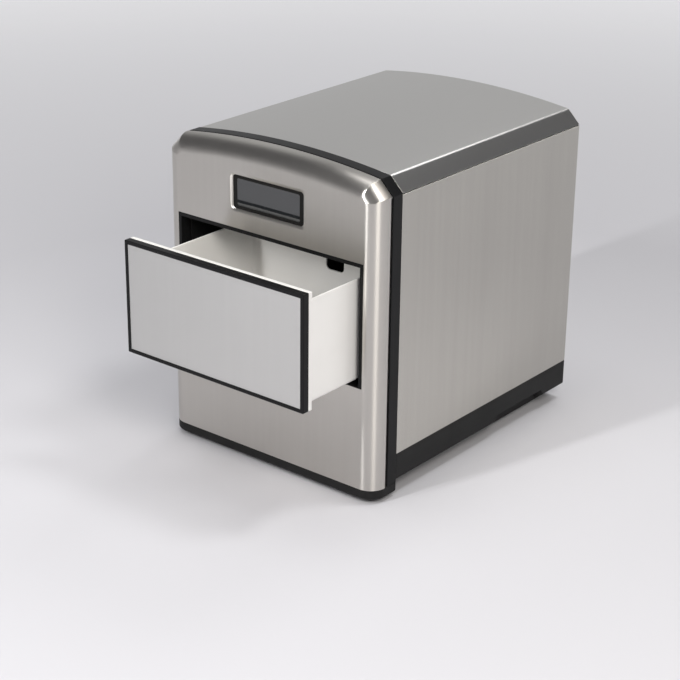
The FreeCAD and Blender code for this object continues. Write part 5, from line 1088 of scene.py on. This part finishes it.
@dataclass
class Base(Assembly):
    """Black base with its four treaded feet."""

    foot_radius: float = 0.013
    foot_height: float = 0.005
    foot_flats: int = 32
    foot_wall: tuple[tuple[float, float], ...] = (    # distance inside the foot's radius, share of its height
        (0.0022, 0.0), (0.0016, 0.1), (0.0003, 0.88), (0.0006, 1.0))
    tread_rings: int = 4
    tread_pitch: float = 0.0024
    tread_depth: float = 0.0006
    spigot_radius: float = 0.004
    spigot_height: float = 0.003

    def foot_profile(self) -> list[tuple[float, float]]:
        """Outline of one foot: treaded sole, tapered wall and spigot.

        Returns:
            Its corners as radius and height.
        """
        points = [(0.0, 0.0)]
        for i in range(self.tread_rings):
            radius = (i + 0.5) * self.tread_pitch
            step = self.tread_pitch / 6
            points += [(radius - step, 0.0), (radius, self.tread_depth), (radius + step, 0.0)]
        points += [(self.foot_radius - inside, share * self.foot_height) for inside, share in self.foot_wall]
        tip = self.foot_height + self.spigot_height
        return points + [(self.spigot_radius, self.foot_height), (self.spigot_radius, tip), (0.0, tip)]

    def build(self) -> list[Piece]:
        """Builds the base and the feet.

        Returns:
            The pieces.
        """
        low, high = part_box("rubber_feet")
        made = [self.refined("base_tray", "base_moulding", BLACK_BASE, edge=0.0006)]
        feet = bmesh.new()
        for x in (low.x + self.foot_radius, high.x - self.foot_radius):
            for y in (low.y + self.foot_radius, high.y - self.foot_radius):
                foot = lathe(self.foot_profile(), Vector((x, y, low.z)), self.foot_flats)
                spare = bpy.data.meshes.new("foot")
                foot.to_mesh(spare)
                foot.free()
                feet.from_mesh(spare)
                bpy.data.meshes.remove(spare)
        made.append(self.piece(feet, "treaded_feet", RUBBER, ["rubber_feet"], edge=0.0))
        return made


@dataclass
class RearFittings(Assembly):
    """What shows at the rear: power inlet and drain outlet."""

    def build(self) -> list[Piece]:
        """Builds the fittings.

        Returns:
            The pieces.
        """
        return [
            self.refined("power_inlet", "power_inlet_socket", BLACK_BASE, edge=0.0003),
            self.refined("drain_outlet", "drain_spout", BLACK_BASE, edge=0.0003),
        ]


@dataclass
class DrainCap(Assembly):
    """Fluted cap with a grip bar."""

    body: str = "drain_closure"

    def build(self) -> list[Piece]:
        """Builds the cap."""
        return [self.refined("drain_cap", "fluted_drain_cap", BLACK_BASE, edge=0.0005)]


@dataclass
class Interior(Assembly):
    """Everything inside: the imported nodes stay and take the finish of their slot."""

    def build(self) -> list[Piece]:
        """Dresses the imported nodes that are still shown.

        Returns:
            The nodes.
        """
        dressed = []
        for row in frame["record"]["subparts"]:
            node = frame["nodes"][row["node"]]
            finish = SLOT_FINISHES.get(row["material_slot"])
            if node.hide_render or finish is None:
                continue
            if not node.material_slots:
                node.data.materials.append(finish.material())
            for slot in node.material_slots:
                slot.material = finish.material()
            dressed.append(node)
        return dressed


# ---------------------------------------------------------------- studio

def compass(azimuth: float, elevation: float) -> Vector:
    """Turns two angles into a direction.

    Args:
        azimuth: Angle about the upright axis in degrees, 0 in front and 90 at the right.
        elevation: Angle over the horizon in degrees.

    Returns:
        The direction as a vector of length 1.
    """
    turn = math.radians(azimuth)
    rise = math.radians(elevation)
    return Vector((math.sin(turn) * math.cos(rise), -math.cos(turn) * math.cos(rise), math.sin(rise)))


@dataclass(frozen=True)
class Softbox:
    """A soft lamp that looks at the machine.

    Attributes:
        name: Its name.
        azimuth: Direction it stands in, in degrees: 0 in front, 90 at the right.
        elevation: Height over the horizon in degrees.
        distance: Distance from the machine's middle.
        width: Width of its lit face.
        height: Height of its lit face.
        power: Its power in watts.
        tone: Its colour.
    """

    name: str
    azimuth: float
    elevation: float
    distance: float
    width: float
    height: float
    power: float
    tone: Color = (1.0, 1.0, 1.0)

    def place(self, aim: Vector) -> bpy.types.Object:
        """Sets the lamp up.

        Args:
            aim: Point that it looks at.

        Returns:
            The lamp.
        """
        lamp = bpy.data.lights.new(self.name, "AREA")
        lamp.shape = "RECTANGLE"
        lamp.size = self.width
        lamp.size_y = self.height
        lamp.energy = self.power
        lamp.color = self.tone
        away = compass(self.azimuth, self.elevation)
        made = bpy.data.objects.new(self.name, lamp)
        made.location = aim + away * self.distance
        made.rotation_euler = away.to_track_quat("Z", "Y").to_euler()
        bpy.context.scene.collection.objects.link(made)
        return made


@dataclass(frozen=True)
class Glow:
    """A softly lit part of the studio's walls and ceiling.

    Attributes:
        azimuth: Direction it lies in, in degrees: 0 in front, 90 at the right.
        elevation: Height over the horizon in degrees.
        inner: Half angle of its even middle in degrees.
        outer: Half angle at which it has faded out.
        strength: Its brightness over the rest.
    """

    azimuth: float
    elevation: float
    inner: float
    outer: float
    strength: float

    def shine(self, tree: bpy.types.NodeTree, way: Socket) -> Socket:
        """Adds the glow to a surround.

        Args:
            tree: The surround's nodes.
            way: Direction looked at.

        Returns:
            The glow's brightness in that direction.
        """
        dot = tree.nodes.new("ShaderNodeVectorMath")
        dot.operation = "DOT_PRODUCT"
        tree.links.new(way, dot.inputs[0])
        dot.inputs[1].default_value = compass(self.azimuth, self.elevation)
        fade = tree.nodes.new("ShaderNodeMapRange")
        fade.interpolation_type = "SMOOTHSTEP"
        for socket, number in (("From Min", math.cos(math.radians(self.outer))),
                               ("From Max", math.cos(math.radians(self.inner))), ("To Max", self.strength)):
            fade.inputs[socket].default_value = number
        tree.links.new(dot.outputs["Value"], fade.inputs["Value"])
        return fade.outputs["Result"]


@dataclass(frozen=True)
class Viewpoint:
    """The camera: it looks down from the front right, and is turned a little about its own axis.

    Attributes:
        place: Where it stands.
        azimuth: Direction it looks from, in degrees: 0 in front, 90 at the right.
        elevation: How far it looks down, in degrees.
        roll: How far it is turned about its axis, in degrees.
        lens: Focal length in millimetres on a sensor 36 mm wide.
    """

    place: Vector = Vector((1.435718, -1.856997, 1.103617))
    azimuth: float = 38.849
    elevation: float = 22.844
    roll: float = 0.648
    lens: float = 95.07

    def set_up(self) -> None:
        """Makes the camera and the scene use it."""
        roll = math.radians(self.roll)
        back = compass(self.azimuth, self.elevation)
        right = compass(self.azimuth + 90.0, 0.0)
        up = back.cross(right)
        side = right * math.cos(roll) + up * math.sin(roll)
        top = up * math.cos(roll) - right * math.sin(roll)
        lens = bpy.data.cameras.new("studio_camera")
        lens.lens = self.lens
        lens.sensor_width = 36.0
        lens.clip_end = 50.0
        made = bpy.data.objects.new("studio_camera", lens)
        turn = Matrix((side, top, back)).transposed().to_4x4()
        made.matrix_world = Matrix.Translation(self.place) @ turn
        bpy.context.scene.collection.objects.link(made)
        bpy.context.scene.camera = made


@dataclass
class Studio:
    """Pale floor, soft lamps, a dim surround with bright places, and the camera.

    Attributes:
        floor_half: Half the floor's width.
        floor_color: The floor's colour.
        floor_drift: Its darkest patches, as a share of the colour.
        floor_patches: Patches per metre.
        far_tone: Light that the far floor adds where it is seen, in a mirror too.
        far_start: Distance from the machine where that light begins.
        far_end: Distance from which it is full.
        surround: Tone of the surround between its bright places.
        glows: The bright places.
        lamps: The lamps.
    """

    floor_half: float = 14.0
    floor_color: Color = (0.665, 0.66, 0.69)
    floor_drift: float = 0.985
    floor_patches: float = 0.6
    far_tone: Color = (0.45, 0.45, 0.452)
    far_start: float = 0.9
    far_end: float = 3.2
    surround: Color = (0.10, 0.10, 0.104)
    glows: tuple[Glow, ...] = (
        Glow(0.0, 90.0, 12.0, 32.0, 1.12),
        Glow(-138.0, 9.0, 14.0, 40.0, 0.5),
        Glow(-122.0, 42.0, 3.0, 13.0, 0.62),
        Glow(-172.0, 44.0, 4.0, 11.0, 5.0),
        Glow(144.0, 6.0, 2.0, 7.0, 6.0),
    )
    lamps: tuple[Softbox, ...] = (
        Softbox("left_softbox", -75.0, 76.0, 2.1, 0.6, 0.6, 3.0),
        Softbox("rear_softbox", 112.0, 68.0, 2.2, 0.4, 0.4, 11.0),
        Softbox("front_softbox", -10.0, 30.0, 2.6, 0.09, 1.1, 28.0),
        Softbox("right_softbox", 54.0, 33.0, 2.8, 0.9, 1.2, 40.0, (1.0, 0.965, 0.91)),
    )

    def floor(self) -> None:
        """Lays the floor, which brightens far from the machine where it is seen."""
        bm = bmesh.new()
        bmesh.ops.create_grid(bm, x_segments=4, y_segments=4, size=self.floor_half)
        mesh = bpy.data.meshes.new("studio_floor")
        bm.to_mesh(mesh)
        bm.free()
        recipe = Recipe("studio_floor_paper", {
            "Specular IOR Level": 0.1, "Roughness": 0.9, "Emission Color": (*self.far_tone, 1.0)})
        drift = recipe.spread(recipe.noise((self.floor_patches,) * 3), 0.0, 1.0)
        recipe.to_shader(recipe.tint(drift, shaded(self.floor_color, self.floor_drift), self.floor_color),
                         "Base Color")
        reach = recipe.node("ShaderNodeVectorMath")
        reach.operation = "LENGTH"
        recipe.feed(recipe.place, reach.inputs[0])
        rays = recipe.node("ShaderNodeLightPath").outputs
        seen = recipe.compute("MAXIMUM", rays["Is Camera Ray"], rays["Is Glossy Ray"])
        seen = recipe.compute("MAXIMUM", seen, rays["Is Transmission Ray"])
        far = recipe.spread(reach.outputs["Value"], 0.0, 1.0, self.far_start, self.far_end)
        recipe.to_shader(recipe.compute("MULTIPLY", far, seen), "Emission Strength")
        mesh.materials.append(recipe.material)
        made = bpy.data.objects.new("studio_floor", mesh)
        bpy.context.scene.collection.objects.link(made)

    def sky(self) -> None:
        """Lights the surround."""
        world = bpy.data.worlds.new("studio_surround")
        world.use_nodes = True
        tree = world.node_tree
        backdrop = tree.nodes["Background"]
        way = tree.nodes.new("ShaderNodeTexCoord").outputs["Generated"]
        total = tree.nodes.new("ShaderNodeMath")
        total.inputs[0].default_value = 0.0
        total.inputs[1].default_value = 0.0
        for glow in self.glows:
            step = tree.nodes.new("ShaderNodeMath")
            step.operation = "ADD"
            tree.links.new(total.outputs[0], step.inputs[0])
            tree.links.new(glow.shine(tree, way), step.inputs[1])
            total = step
        grey = tree.nodes.new("ShaderNodeCombineColor")
        for part, base in zip(grey.inputs, self.surround):
            add = tree.nodes.new("ShaderNodeMath")
            tree.links.new(total.outputs[0], add.inputs[0])
            add.inputs[1].default_value = base
            tree.links.new(add.outputs[0], part)
        tree.links.new(grey.outputs[0], backdrop.inputs["Color"])
        bpy.context.scene.world = world

    def build(self) -> None:
        """Sets up floor, surround, lamps and camera."""
        self.floor()
        self.sky()
        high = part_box("top_cover")[1]
        aim = Vector((0.0, 0.0, high.z / 2))
        for softbox in self.lamps:
            softbox.place(aim)
        Viewpoint().set_up()
        bpy.context.scene.view_settings.view_transform = "Standard"


# ---------------------------------------------------------------- the machine

def main() -> None:
    """Builds the machine and its studio, and reports each piece."""
    logging.basicConfig(level=logging.INFO, format="%(name)s: %(message)s")
    Studio().build()
    assemblies = (FrontPanel(), Window(), Trim(), Covers(), IceDrawer(), Base(), RearFittings(), DrainCap(),
                  Interior())
    for assembly in assemblies:
        for made in assembly.build():
            LOG.info("%s: %s", type(assembly).__name__, made.name)


if __name__ == "__main__":
    main()
